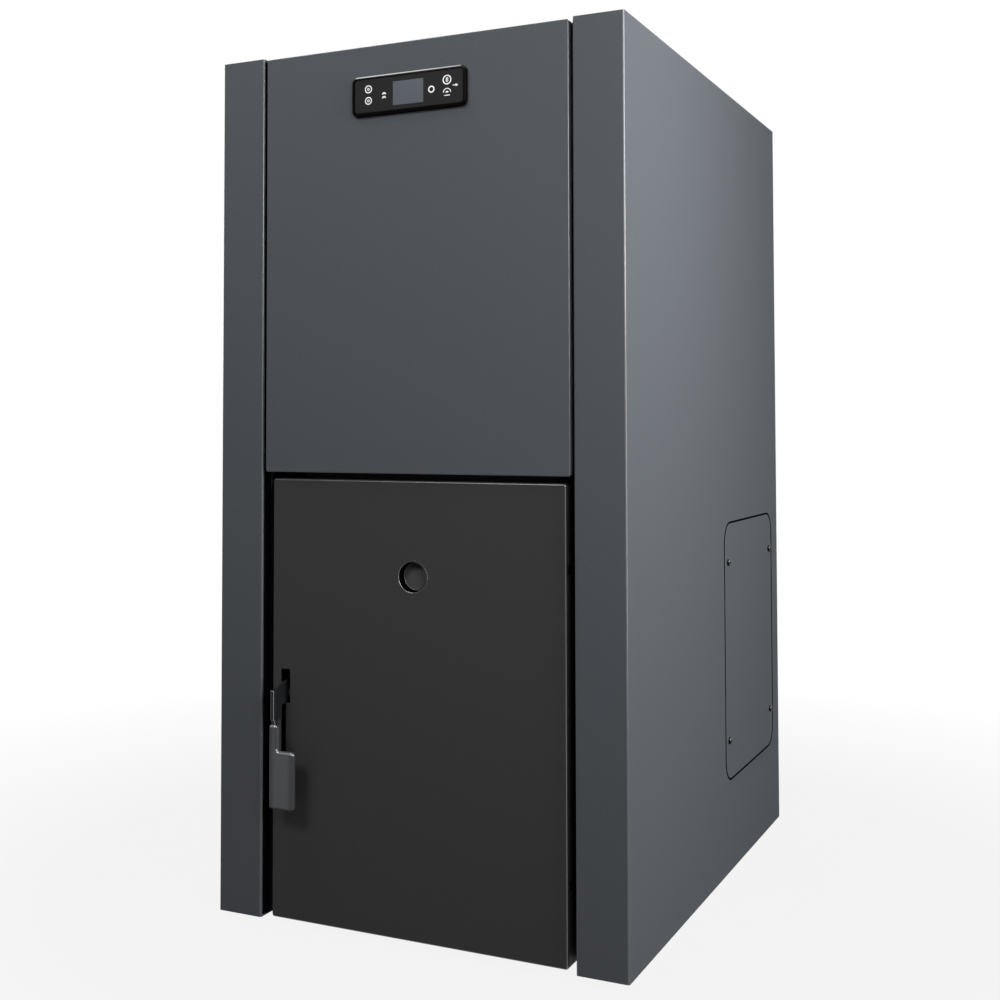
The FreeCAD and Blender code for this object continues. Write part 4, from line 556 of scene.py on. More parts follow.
def fire_board():
    """Pressed vermiculite: golden-brown flakes of mica, browned and sooted by the fire."""
    material, shader = start_finish("vermiculite_board", "#8f7a58", 0.85, specular=0.3)
    flakes = pattern_of(material, CELLS, 3.2)
    tone = add_node(material, "ShaderNodeSeparateColor", {"Color": flakes.outputs["Color"]}).outputs["Green"]
    mica = [(0.0, linear("#7c6849")), (1.0, linear("#b59e76"))]
    board = add_node(material, "ShaderNodeValToRGB", {"Fac": tone}, mica)
    cloud = pattern_of(material, NOISE, 110.0, {"Detail": 5.0, "Roughness": 0.6})
    smoke = [(0.38, linear("#5a534b")), (0.6, WHITE)]
    soot = add_node(material, "ShaderNodeValToRGB", {"Fac": cloud}, smoke)
    layers = {"Fac": 0.8, "Color1": board, "Color2": soot}
    fill_inputs(shader, {"Base Color": add_node(material, "ShaderNodeMixRGB", layers, blend_type="MULTIPLY")})
    weather(material, shader, flakes, relief=(0.5, 0.5))
    return material


def mineral_board():
    """Mineral wool board: matted pale fibres."""
    return grained(
        "mineral_wool_board", "#b3aa94", roughness=0.95, specular=0.2, size=1.5, detail=6.0,
        stretch=(1.0, 1.0, 0.2), shades=("#8f866f", "#cbc3ae"), relief=(0.7, 0.6),
    )


def rope_seal():
    """Knitted glass-fibre rope: dull off-white yarn, greyed by smoke."""
    material, shader = start_finish("glass_fibre_rope", "#a8a298", 0.9, specular=0.3)
    yarn = pattern_of(material, NOISE, 0.8, {"Detail": 3.0})
    smoke = pattern_of(material, NOISE, 70.0, {"Detail": 4.0})
    tone = add_node(material, "ShaderNodeMath", {0: yarn, 1: smoke}, operation="MULTIPLY")
    weather(material, shader, tone, shades=("#6f6a63", "#beb8ad"), span=(0.12, 0.4))
    weather(material, shader, yarn, relief=(0.5, 0.3))
    return material


def seal_rubber():
    """Sponge rubber: dull black with fine pores."""
    material, shader = start_finish("sponge_rubber", "#18191a", 0.85, specular=0.3)
    pores = pattern_of(material, CELLS, 0.9)
    weather(material, shader, pores, shades=("#0e0f10", "#202122"), span=(0.1, 0.6), relief=(0.4, 0.2))
    return material


def black_plastic():
    """Black moulded housing plastic with a clean gloss."""
    return moulded_plastic("black_abs", "#060607", roughness=0.22, specular=0.02, index=1.75, upper_only=True)


def grip_plastic():
    """Satin glass-filled nylon of the grip, with painted shade darkening its left and right sides."""
    return moulded_plastic(
        "satin_nylon", tint("grip"), roughness=0.34, specular=0.12, index=2.0, upper_only=True, bent=EARLY,
        shaded_sides_of="latch_grip",
    )


def keypad_film():
    """Velvet polyester film over the touch keys."""
    return moulded_plastic("keypad_film", tint("keypad"), roughness=0.45, specular=0.065, index=1.5)


def screen_glass():
    """Liquid crystal cell under clear glass: grey-blue dots behind a sharp gloss."""
    material, shader = start_finish("liquid_crystal_screen", tint("screen"), 0.4, specular=0.1)
    fill_inputs(shader, {"Coat Weight": 0.2, "Coat Roughness": 0.2})
    # The real dots are about 0.25 mm; they are drawn at 0.6 mm so that they show
    dots = pattern_of(material, CELLS, 0.6, {"Randomness": 0.0}, distance="CHEBYCHEV")
    weather(material, shader, dots, shades=(1.03, 0.93), span=(0.4, 0.5))
    return material


def circuit_board():
    """Glass-epoxy board under green solder mask: glossy, with faint copper tracks."""
    material, shader = start_finish("circuit_board", "#1d5a37", 0.3)
    tracks = pattern_of(material, CELLS, 6.0, distance="MANHATTAN", feature="DISTANCE_TO_EDGE")
    weather(material, shader, tracks, shades=("#2c7a49", "#1a5232"), span=(0.03, 0.06))
    return material


def symbol_ink():
    """Screen-printed white ink: opaque, with a slightly uneven edge of gloss."""
    return grained(
        "white_print_ink", "#e8e9ea", roughness=0.5, size=0.5, detail=2.0,
        shades=("#dcdddf", "#f4f4f5"), spread=(0.42, 0.58),
    )


FINISHES = {
    finish.__name__: finish
    for finish in (
        casing_coat, cover_coat, door_coat, lit_disc_coat, lever_coat, well_shade_black, black_felt, cord_rubber,
        galvanised_sheet, boiler_steel, stainless_steel, zinc_steel, black_steel, cast_iron, cast_aluminium,
        motor_paint, brass, fire_board, mineral_board, rope_seal, seal_rubber, black_plastic, grip_plastic,
        keypad_film, screen_glass, circuit_board, symbol_ink,
    )
}
made_finishes = {}

# Frame pieces that show beside the casing and wear its coat over their own metal
COATED = {"front_cross_rails": "casing_coat"}


def finish_of(name):
    """Finish of a name, made when it is first asked for."""
    if name not in made_finishes:
        made_finishes[name] = FINISHES[name]()
    return made_finishes[name]


# Modelling

# Distances in metres that still count as the same place, and within which points are merged
SAME_PLACE = 0.02 * MM
MERGED = 0.01 * MM
FINELY_MERGED = 0.001 * MM
# Part of a direction along an axis from which it runs along that axis, and up to which it runs across it
SQUARE = 0.99
ACROSS = 0.1
# Angles in degrees: of a crease that is rounded, of one that shades smooth, and of one that isn't there
SHARP_CREASE = 35.0
SMOOTH_CREASE = 40.0
LEVEL_CREASE = 0.5
# Step of a drawn rounding in degrees
ROUND_STEP = 15


def clear_bench():
    """Close the piece being edited and leave nothing selected."""
    if bpy.context.object and bpy.context.object.mode == "EDIT":
        bpy.ops.object.mode_set(mode="OBJECT")
    bpy.ops.object.select_all(action="DESELECT")


def grab(*pieces):
    """Close the piece being edited and select others, the first of them active."""
    clear_bench()
    for piece in pieces:
        piece.select_set(True)
    bpy.context.view_layer.objects.active = pieces[0]


def rename(piece, name):
    """Name a piece and its mesh."""
    piece.name = name
    piece.data.name = name
    return piece


def copy_of(piece, name):
    """Copy of a piece with a mesh of its own."""
    grab(piece)
    bpy.ops.object.duplicate()
    return rename(bpy.context.object, name)


def join(name, *pieces):
    """Make one piece of several."""
    grab(*pieces)
    bpy.ops.object.join()
    return rename(bpy.context.object, name)


def choose_all():
    """Select all of the piece being edited."""
    bpy.ops.mesh.select_all(action="SELECT")


def face_out():
    """Turn every face of the piece being edited outwards."""
    choose_all()
    bpy.ops.mesh.normals_make_consistent(inside=False)


def pull(way):
    """Pull out what is selected by a step."""
    bpy.ops.mesh.extrude_region_move(TRANSFORM_OT_translate={"value": way})


def open_piece(name):
    """Name the primitive just added, put its place in its mesh and open it with all of it selected."""
    piece = rename(bpy.context.object, name)
    bpy.ops.object.transform_apply(location=True, rotation=True, scale=True)
    bpy.ops.object.mode_set(mode="EDIT")
    choose_all()
    return piece


def add_block(name, low, high):
    """Start a piece as a block between two corners."""
    clear_bench()
    low = Vector(low)
    high = Vector(high)
    bpy.ops.mesh.primitive_cube_add(size=1, location=(low + high) / 2, scale=high - low)
    return open_piece(name)


def draw_line(name, points):
    """Start a piece as a line drawn from point to point."""
    clear_bench()
    points = [Vector(point) for point in points]
    bpy.ops.mesh.primitive_plane_add(size=MM, location=points[0])
    piece = open_piece(name)
    bpy.ops.mesh.select_mode(type="VERT")
    choose_all()
    bpy.ops.mesh.merge(type="CENTER")
    for start, end in zip(points, points[1:]):
        pull(end - start)
    choose_all()
    return piece


def turn_line(name, points, middle, axis, steps):
    """Start a piece as a line drawn from point to point and turned once round an axis."""
    piece = draw_line(name, points)
    bpy.ops.mesh.spin(steps=steps, angle=2 * math.pi, center=middle, axis=axis)
    choose_all()
    bpy.ops.mesh.remove_doubles(threshold=MERGED)
    face_out()
    return piece


def quarter_round(out, along, radius):
    """Points of a rounded edge that turns from facing along to facing out, as pairs of places."""
    turns = [math.radians(degrees) for degrees in range(0, 91, ROUND_STEP)]
    return [(out - radius * math.sin(turn), along + radius - radius * math.cos(turn)) for turn in turns]


def draw_plate(name, corners, thickness):
    """Start a piece as a plate: an outline drawn from corner to corner, filled and pulled out."""
    piece = draw_line(name, corners)
    bpy.ops.mesh.edge_face_add()
    pull(thickness)
    face_out()
    return piece


def choose_faces(wanted):
    """Select the faces being edited whose middle and normal are wanted."""
    bpy.ops.mesh.select_mode(type="FACE")
    bpy.ops.mesh.select_all(action="DESELECT")
    mesh = bmesh.from_edit_mesh(bpy.context.object.data)
    for face in mesh.faces:
        face.select_set(bool(wanted(face.calc_center_median(), face.normal)))
    bmesh.update_edit_mesh(bpy.context.object.data)


def choose_edges(wanted):
    """Select the edges being edited whose middle and direction are wanted."""
    bpy.ops.mesh.select_mode(type="EDGE")
    bpy.ops.mesh.select_all(action="DESELECT")
    mesh = bmesh.from_edit_mesh(bpy.context.object.data)
    for edge in mesh.edges:
        first, second = (corner.co for corner in edge.verts)
        edge.select_set(bool(wanted((first + second) / 2, (second - first).normalized())))
    bmesh.update_edit_mesh(bpy.context.object.data)


def round_edges(wanted, radius, segments):
    """Round the edges being edited whose middle and direction are wanted."""
    choose_edges(wanted)
    bpy.ops.mesh.bevel(offset=radius, segments=segments, affect="EDGES", clamp_overlap=True)


def leave_rim(width):
    """Leave only a rim of the flat face that is selected."""
    bpy.ops.mesh.inset(thickness=width)
    bpy.ops.mesh.delete(type="FACE")
    choose_all()


def open_ring(axis, wall):
    """Turn the block being edited into a ring round an axis, given as a number, with a wall of a width."""
    choose_faces(lambda at, normal: abs(normal[axis]) > SQUARE)
    bpy.ops.mesh.inset(thickness=wall, use_individual=True)
    bpy.ops.mesh.bridge_edge_loops()
    face_out()


def near(value, target):
    """Whether two places along an axis are the same."""
    return abs(value - target) < SAME_PLACE


def apply_modifier(piece, kind, **settings):
    """Close a piece and shape it with a modifier."""
    grab(piece)
    modifier = piece.modifiers.new(kind.lower(), kind)
    for name, value in settings.items():
        setattr(modifier, name, value)
    bpy.ops.object.modifier_apply(modifier=modifier.name)


def round_sharp(piece, radius, segments):
    """Round every sharp edge of a piece."""
    limit = math.radians(SHARP_CREASE)
    apply_modifier(piece, "BEVEL", width=radius, segments=segments, limit_method="ANGLE", angle_limit=limit)


def combine(piece, other, operation):
    """Join another piece to a piece, or take it away, and remove the other."""
    apply_modifier(piece, "BOOLEAN", operation=operation, solver="EXACT", object=other)
    bpy.data.objects.remove(other)


def settle(piece, body, slot, replaced=None, finish=None):
    """Close a modelled piece, dress it and hang it on its body."""
    grab(piece)
    bpy.ops.object.transform_apply(location=True, rotation=True, scale=True)
    bpy.ops.object.shade_smooth_by_angle(angle=math.radians(SMOOTH_CREASE))
    apply_modifier(piece, "WEIGHTED_NORMAL", keep_sharp=True)
    piece.data.materials.clear()
    piece.data.materials.append(finish_of(finish or slot))
    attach(piece, body)
    if replaced:
        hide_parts(replaced)


def eased_copy(node, name, radius, segments):
    """Copy of a frame piece whose sharp edges are broken, as a press or a file leaves them."""
    piece = copy_of(frame["nodes"][node], name)
    piece.parent = None
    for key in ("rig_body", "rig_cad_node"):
        del piece[key]
    bpy.ops.object.mode_set(mode="EDIT")
    choose_all()
    bpy.ops.mesh.customdata_custom_splitnormals_clear()
    bpy.ops.mesh.remove_doubles(threshold=FINELY_MERGED)
    bpy.ops.mesh.dissolve_limited(angle_limit=math.radians(LEVEL_CREASE))
    round_sharp(piece, radius, segments)
    return piece


# Pieces


class BOILER_OT_dress_frame(bpy.types.Operator):
    """Give every piece of the frame the finish of its material slot"""

    bl_idname = "boiler.dress_frame"
    bl_label = "Frame finishes"

    def execute(self, context):
        for row in frame["record"]["subparts"]:
            node = frame["nodes"][row["node"]]
            node.data.materials.clear()
            node.data.materials.append(finish_of(COATED.get(row["node"], row["material_slot"])))
        return {"FINISHED"}


class BOILER_OT_latch_lever(bpy.types.Operator):
    """Flat latch lever with its edges rounded over"""

    bl_idname = "boiler.latch_lever"
    bl_label = "Latch lever"

    def execute(self, context):
        radius = context.scene.boiler_latch.lever_round
        piece = eased_copy("latch_lever", "lever_blade", radius, segments=3)
        settle(piece, "latch", "black_steel", "latch_lever", "lever_coat")
        return {"FINISHED"}


class BOILER_OT_latch_grip(bpy.types.Operator):
    """Moulded grip: a rounded paddle under a narrow neck, with a rib behind it"""

    bl_idname = "boiler.latch_grip"
    bl_label = "Latch grip"

    def execute(self, context):
        sizes = context.scene.boiler_latch
        corner = sizes.corner_round
        edge = sizes.edge_round
        low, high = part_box("latch_grip")
        neck_x = low.x + sizes.neck_width
        shoulder_z = high.z - sizes.neck_height
        back_y = low.y + sizes.paddle_depth
        outline = [
            (low.x, low.z), (high.x, low.z), (high.x, shoulder_z), (neck_x, shoulder_z), (neck_x, high.z),
            (low.x, high.z),
        ]
        piece = draw_plate("grip_moulding", [(x, low.y, z) for x, z in outline], (0, sizes.paddle_depth, 0))

        def deep(way):
            return abs(way.y) > SQUARE

        roundings = [
            (lambda at, way: deep(way) and near(at.z, low.z), corner, 8),
            (lambda at, way: deep(way) and near(at.x, high.x) and near(at.z, shoulder_z), corner, 8),
            (lambda at, way: deep(way) and near(at.x, neck_x) and near(at.z, shoulder_z), sizes.waist_round, 8),
            (lambda at, way: deep(way) and near(at.z, high.z), edge, 5),
            (lambda at, way: near(at.y, low.y), edge, 6),
            (lambda at, way: near(at.y, back_y), edge / 2, 4),
        ]
        for wanted, radius, segments in roundings:
            round_edges(wanted, radius, segments)
        spine_low = (low.x + sizes.lever_round, back_y - edge, low.z + corner)
        spine_high = (low.x + sizes.spine_width, high.y, high.z - corner)
        spine = add_block("grip_spine", spine_low, spine_high)
        round_sharp(spine, sizes.lever_round, segments=3)
        combine(piece, spine, "UNION")
        settle(piece, "latch", "grip_plastic", "latch_grip")
        return {"FINISHED"}


class BOILER_OT_service_cover(bpy.types.Operator):
    """Service cover with the slightly rolled edge of a punched plate, and a matt black cord round it that
    paints the groove's shade
    """

    bl_idname = "boiler.service_cover"
    bl_label = "Service cover"

    def execute(self, context):
        sizes = context.scene.boiler_fittings
        groove = sizes.groove_width
        low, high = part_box("service_cover")
        piece = eased_copy("service_cover", "service_plate", sizes.cover_round, segments=4)
        settle(piece, "boiler", "casing_coat", "service_cover", "cover_coat")
        cord_low = (low.x, low.y - groove, low.z - groove)
        cord_high = (low.x + sizes.cord_depth, high.y + groove, high.z + groove)
        cord = add_block("cover_cord", cord_low, cord_high)
        round_edges(lambda at, way: abs(way.x) > SQUARE, sizes.cover_corner + groove, segments=16)
        open_ring(0, groove)
        round_sharp(cord, sizes.cord_depth / 3, segments=2)
        settle(cord, "boiler", "seal_rubber", finish="cord_rubber")
        return {"FINISHED"}


class BOILER_OT_port_rim(bpy.types.Operator):
    """Blind port in the door: a rolled rim, a black sleeve down the well that paints its shade, and a beaded
    disc on its floor, painted lighter than the door
    """

    bl_idname = "boiler.port_rim"
    bl_label = "Port"

    def execute(self, context):
        sizes = context.scene.boiler_fittings
        low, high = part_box("sight_port_cup")
        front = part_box("door_skin")[0].y
        middle = Vector(((low.x + high.x) / 2, front, (low.z + high.z) / 2))

        def turned(name, line):
            points = [middle + Vector((out, depth, 0)) for out, depth in line]
            return turn_line(name, points, middle, (0, 1, 0), steps=72)

        radius = sizes.port_radius
        edge = sizes.rim_round
        collar = radius + sizes.collar_width
        height = sizes.collar_height
        rim_line = [(collar, height / 5), (collar - height, -height), *quarter_round(radius, -height, edge)]
        settle(turned("port_rim", rim_line), "door", "door_coat")
        throat = radius - edge
        step = sizes.step_depth
        well = sizes.well_radius
        floor = sizes.well_depth
        sleeve_line = [(radius - height, edge), (throat, edge), (throat, step), (well, step), (well, floor)]
        settle(turned("port_sleeve", sleeve_line), "door", "door_coat", finish="well_shade_black")
        bead = sizes.bead_radius
        disc_line = [(0.0, floor - bead), (well - 3 * bead, floor - bead)]
        for degrees in range(ROUND_STEP - 90, 91, ROUND_STEP):
            turn = math.radians(degrees)
            disc_line.append((well - 2 * bead + bead * math.sin(turn), floor - bead - bead * math.cos(turn)))
        settle(turned("port_disc", disc_line), "door", "door_coat", finish="lit_disc_coat")
        return {"FINISHED"}


class BOILER_OT_column_strips(bpy.types.Operator):
    """Matt black strips on the columns' returns: painted shade that keeps the gaps beside the door dark"""

    bl_idname = "boiler.column_strips"
    bl_label = "Column strips"

    def execute(self, context):
        sizes = context.scene.boiler_fittings
        depth = sizes.strip_depth
        inset = sizes.strip_inset
        low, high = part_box("front_cross_rails")
        bottom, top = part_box("side_panel_left")
        front = bottom.y + inset
        places = {"left": (low.x, 0.0), "right": (high.x - depth, sizes.strip_clear)}
        for side, (edge, clear) in places.items():
            strip_low = (edge, front + clear, bottom.z + inset)
            strip_high = (edge + depth, front + sizes.strip_width, top.z - inset)
            strip = add_block("felt_strip_" + side, strip_low, strip_high)
            round_sharp(strip, depth / 4, segments=2)
            settle(strip, "boiler", "seal_rubber", finish="black_felt")
        return {"FINISHED"}


# Outline of a foot's shoe from the floor up, as shares of the foot's radius and of its height
SHOE_LINE = [
    (0.98, 0.0), (1.05, 0.05), (1.07, 0.15), (1.07, 0.3), (1.03, 0.36), (1.03, 0.42), (1.07, 0.48),
    (1.07, 0.66), (1.04, 0.8), (0.97, 0.94), (0.9, 1.02), (0.55, 1.02),
]


class BOILER_OT_foot_shoes(bpy.types.Operator):
    """Grooved rubber shoes over the pads of the levelling feet"""

    bl_idname = "boiler.foot_shoes"
    bl_label = "Foot shoes"

    def execute(self, context):
        sizes = context.scene.boiler_fittings
        radius = sizes.foot_radius
        low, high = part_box("levelling_feet")
        middle = Vector((low.x + radius, low.y + radius, low.z))
        points = [middle + Vector((out * radius, 0, up * sizes.foot_height)) for out, up in SHOE_LINE]
        shoes = [turn_line("foot_shoe_1", points, middle, (0, 0, 1), steps=48)]
        across = high.x - low.x - 2 * radius
        along = high.y - low.y - 2 * radius
        for number, move in enumerate([(across, 0, 0), (0, along, 0), (across, along, 0)], 2):
            shoe = copy_of(shoes[0], f"foot_shoe_{number}")
            shoe.location = move
            shoes.append(shoe)
        for shoe in shoes:
            settle(shoe, "boiler", "seal_rubber")
        return {"FINISHED"}


class BOILER_OT_cable_gland(bpy.types.Operator):
    """Cable gland with a ridged cap and a rubber bush in its bore"""

    bl_idname = "boiler.cable_gland"
    bl_label = "Cable gland"

    def execute(self, context):
        sizes = context.scene.boiler_fittings
        ease = sizes.gland_round
        bore = sizes.gland_bore
        low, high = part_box("cable_gland")
        middle = Vector(((low.x + high.x) / 2, high.y, (low.z + high.z) / 2))
        body = eased_copy("cable_gland", "gland_body", ease, segments=3)
        ridge_low = middle + Vector((-ease, -sizes.ridge_start, sizes.gland_cap - ease / 2))
        ridge_high = middle + Vector((ease, -sizes.ridge_end, sizes.gland_cap + ease))
        ridges = add_block("gland_ridges", ridge_low, ridge_high)
        bpy.ops.mesh.bevel(offset=ease / 2, segments=2, affect="EDGES")
        choose_all()
        more = sizes.gland_ridges - 1
        sweep = 2 * math.pi * more / sizes.gland_ridges
        bpy.ops.mesh.spin(steps=more, dupli=True, angle=sweep, center=middle, axis=(0, 1, 0))
        settle(join("gland_body", body, ridges), "boiler", "black_plastic", "cable_gland")
        line = [
            (bore, -sizes.bush_skirt), (bore, -ease), (bore - ease, -ease / 3), (sizes.bush_lip, -ease / 3),
            (sizes.bush_hole, -ease), (sizes.bush_hole, -sizes.bush_depth),
        ]
        points = [middle + Vector((out, along, 0)) for out, along in line]
        bush = turn_line("gland_bush", points, middle, (0, 1, 0), steps=40)
        settle(bush, "boiler", "seal_rubber")
        return {"FINISHED"}


# Part of a normal along the depth on the rocker's two broad faces, and how far like faces may lean apart
BROAD = 0.9
SAME_LEAN = 0.01


def switch_face(side):
    """Lean and middle of the rocker's upper face, for 1, or lower face, for -1, found from its mesh."""
    mesh = frame["nodes"]["power_switch_rocker"].data
    low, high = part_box("power_switch_rocker")
    middle = (low + high) / 2
    broad = [face for face in mesh.polygons if face.normal.y > BROAD and (face.center.z - middle.z) * side > 0]
    largest = max(broad, key=lambda face: face.area)
    lean = math.atan2(largest.normal.z, largest.normal.y)
    up = Vector((0, -math.sin(lean), math.cos(lean)))
    flush = [face for face in mesh.polygons if (face.normal - largest.normal).length < SAME_LEAN]
    corners = [mesh.vertices[index].co for face in flush for index in face.vertices]
    heights = [(corner - largest.center).dot(up) for corner in corners]
    place = largest.center + up * (min(heights) + max(heights)) / 2
    return lean, Vector((middle.x, place.y, place.z))


class BOILER_OT_mains_switch(bpy.types.Operator):
    """Mains switch with softened edges and its on and off marks"""

    bl_idname = "boiler.mains_switch"
    bl_label = "Mains switch"

    def execute(self, context):
        sizes = context.scene.boiler_fittings
        depth = context.scene.boiler_display.print_depth
        surround = eased_copy("power_switch_frame", "switch_surround", sizes.switch_round, segments=3)
        settle(surround, "boiler", "black_plastic", "power_switch_frame")
        rocker = eased_copy("power_switch_rocker", "rocker_key", sizes.switch_round, segments=3)
        settle(rocker, "mains_switch", "black_plastic", "power_switch_rocker")
        lean, place = switch_face(1)
        clear_bench()
        stroke_size = (sizes.mark_width, 2 * depth, sizes.mark_height)
        bpy.ops.mesh.primitive_cube_add(size=1, location=place, rotation=(lean, 0, 0), scale=stroke_size)
        stroke = open_piece("switch_on_mark")
        round_sharp(stroke, depth / 2, segments=2)
        settle(stroke, "mains_switch", "black_plastic", finish="symbol_ink")
        lean, place = switch_face(-1)
        clear_bench()
        bpy.ops.mesh.primitive_circle_add(
            vertices=40, radius=sizes.mark_radius, fill_type="NGON", location=place,
            rotation=(lean - math.pi / 2, 0, 0),
        )
        ring = open_piece("switch_off_mark")
        leave_rim(sizes.mark_ring)
        pull(Vector((0, math.cos(lean), math.sin(lean))) * depth)
        face_out()
        settle(ring, "mains_switch", "black_plastic", finish="symbol_ink")
        return {"FINISHED"}


class BOILER_OT_display(bpy.types.Operator):
    """Display: a glossy frame, the keypad film sunk in it and the screen in the film's window"""

    bl_idname = "boiler.display"
    bl_label = "Display"

    def execute(self, context):
        sizes = context.scene.boiler_display
        low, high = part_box("display_bezel")
        film_low, film_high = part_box("keypad_overlay")
        screen_low, screen_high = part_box("display_window")
        seat_y = film_low.y + sizes.film_depth
        shoulder_y = low.y + sizes.frame_fall

        def deep(at, way):
            return abs(way.y) > SQUARE

        def front_line(at, way):
            return abs(way.y) < ACROSS and (near(at.y, low.y) or near(at.y, shoulder_y))

        rim = add_block("display_frame", (low.x, shoulder_y, low.z), high)
        round_edges(deep, sizes.frame_corner, segments=12)
        choose_faces(lambda at, normal: near(at.y, shoulder_y))
        bpy.ops.mesh.inset(thickness=sizes.frame_slope)
        bpy.ops.transform.translate(value=(0, -sizes.frame_fall, 0))
        round_edges(front_line, sizes.frame_round, segments=3)
        choose_faces(lambda at, normal: near(at.y, low.y))
        bpy.ops.mesh.inset(thickness=sizes.frame_ring - sizes.frame_slope - sizes.frame_round)
        pull((0, seat_y - low.y, 0))
        settle(rim, "boiler", "black_plastic", "display_bezel")
        film = add_block("keypad_sheet", film_low, (film_high.x, seat_y, film_high.z))
        round_edges(deep, sizes.film_corner, segments=8)
        round_edges(lambda at, way: near(at.y, film_low.y), sizes.film_round, segments=3)
        hole_low = (screen_low.x, low.y, screen_low.z)
        hole = add_block("film_window", hole_low, (screen_high.x, high.y, screen_high.z))
        combine(film, hole, "DIFFERENCE")
        settle(film, "boiler", "keypad_film", "keypad_overlay")
        screen = add_block("screen_pane", screen_low, (screen_high.x, seat_y, screen_high.z))
        round_sharp(screen, sizes.film_round / 2, segments=2)
        settle(screen, "boiler", "screen_glass", "display_window")
        return {"FINISHED"}


# Printed shapes as kind, place across and up from the keypad's middle, and sizes in millimetres: a radius and
# a line's width for a ring and an arch, a radius for a dome, a width and a height for a bar, and a radius and
# a turn in degrees for a wedge
KEY_SHAPES = [
    ("ring", -60.0, 9.0, 5.4, 1.3),
    ("ring", -60.0, 9.0, 1.8, 1.0),
    ("ring", -60.0, -6.6, 5.2, 1.25),
    ("ring", -60.0, -6.6, 1.8, 0.9),
    ("arch", -36.0, -0.4, 2.9, 1.6),
    ("arch", -36.0, -5.4, 2.9, 1.6),
    ("ring", 35.0, -1.0, 4.6, 1.5),
    ("ring", 58.0, 9.2, 6.3, 1.3),
    ("ring", 58.0, 10.4, 1.7, 0.8),
    ("ring", 58.0, 8.0, 1.7, 0.8),
    ("arch", 58.0, -7.6, 5.8, 1.0),
    ("dome", 58.0, -7.8, 2.2),
    ("bar", 58.0, -11.4, 8.3, 1.1),
    ("bar", 69.0, 1.0, 5.6, 1.0),
    ("wedge", 71.8, 1.0, 2.4, 90.0),
]


def print_shape(depth, middle, shape):
    """One shape of printed ink on the keypad film."""
    kind, across, up, *numbers = shape
    place = middle + Vector((across, 0, up)) * MM
    clear_bench()
    if kind == "bar":
        bpy.ops.mesh.primitive_plane_add(size=1, location=place, rotation=(math.pi / 2, 0, 0))
    else:
        turn = math.radians(numbers[1]) if kind == "wedge" else 0.0
        bpy.ops.mesh.primitive_circle_add(
            vertices=3 if kind == "wedge" else 40, radius=numbers[0] * MM, fill_type="NGON",
            location=place, rotation=(math.pi / 2, turn, 0),
        )
    piece = open_piece("ink_" + kind)
    if kind == "bar":
        width, height = numbers
        bpy.ops.transform.resize(value=(width * MM, 1, height * MM), center_override=place)
    if kind in ("ring", "arch"):
        leave_rim(numbers[1] * MM)
    if kind in ("dome", "arch"):
        bpy.ops.mesh.bisect(plane_co=place, plane_no=(0, 0, 1), clear_inner=True)
        choose_all()
    pull((0, -depth, 0))
    clear_bench()
    return piece


class BOILER_OT_key_symbols(bpy.types.Operator):
    """White symbols printed over the touch keys"""

    bl_idname = "boiler.key_symbols"
    bl_label = "Key symbols"

    def execute(self, context):
        depth = context.scene.boiler_display.print_depth
        low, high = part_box("keypad_overlay")
        middle = Vector(((low.x + high.x) / 2, low.y, (low.z + high.z) / 2))
        piece = join("key_symbols", *[print_shape(depth, middle, shape) for shape in KEY_SHAPES])
        settle(piece, "boiler", "keypad_film", finish="symbol_ink")
        return {"FINISHED"}


# The rope's core, on which its stitches lie, as shares of the rope's half width and half depth
CORE_WIDTH = 0.76
CORE_DEPTH = 0.72
# A stitch: slant in degrees, length as a share of the pitch, width and height as shares of the half width
STITCH_SLANT = 32.0
STITCH_LENGTH = 0.72
STITCH_WIDTH = 0.3
STITCH_HEIGHT = 0.24


def rope_path(low, high, half_width, bend):
    """Closed curve along the middle of the rope."""
    middle = (low + high) / 2
    clear_bench()
    bpy.ops.mesh.primitive_plane_add(size=1, location=middle, rotation=(math.pi / 2, 0, 0))
    open_piece("rope_path")
    across = high - low - Vector((2, 0, 2)) * half_width
    bpy.ops.transform.resize(value=(across.x, 1, across.z), center_override=middle)
    bpy.ops.mesh.bevel(offset=bend, segments=6, affect="VERTICES")
    choose_all()
    bpy.ops.mesh.delete(type="ONLY_FACE")
    bpy.ops.object.mode_set(mode="OBJECT")
    bpy.ops.object.convert(target="CURVE")
    return bpy.context.object


def rope_stitches(pitch, columns, half_width, half_depth):
    """One row of stitches round the rope and its core, lying along X."""
    clear_bench()
    core_width = CORE_WIDTH * half_width
    core_depth = CORE_DEPTH * half_depth
    stitches = []
    for number in range(columns):
        turn = 2 * math.pi * number / columns
        slant = math.radians(STITCH_SLANT) * (-1) ** number
        tilt = Matrix.Rotation(turn, 4, "X") @ Matrix.Rotation(slant, 4, "Z")
        bpy.ops.mesh.primitive_uv_sphere_add(
            segments=6, ring_count=5, radius=1, rotation=tilt.to_euler(),
            location=(0, -core_depth * math.sin(turn), core_width * math.cos(turn)),
            scale=(STITCH_LENGTH * pitch, STITCH_WIDTH * half_width, STITCH_HEIGHT * half_width),
        )
        stitches.append(bpy.context.object)
    bpy.ops.mesh.primitive_cylinder_add(
        vertices=12, radius=1, depth=pitch, end_fill_type="NOTHING", rotation=(0, math.pi / 2, 0),
        scale=(core_width, core_depth, 1),
    )
    piece = join("door_rope", bpy.context.object, *stitches)
    bpy.ops.object.transform_apply(location=True, rotation=True, scale=True)
    return piece


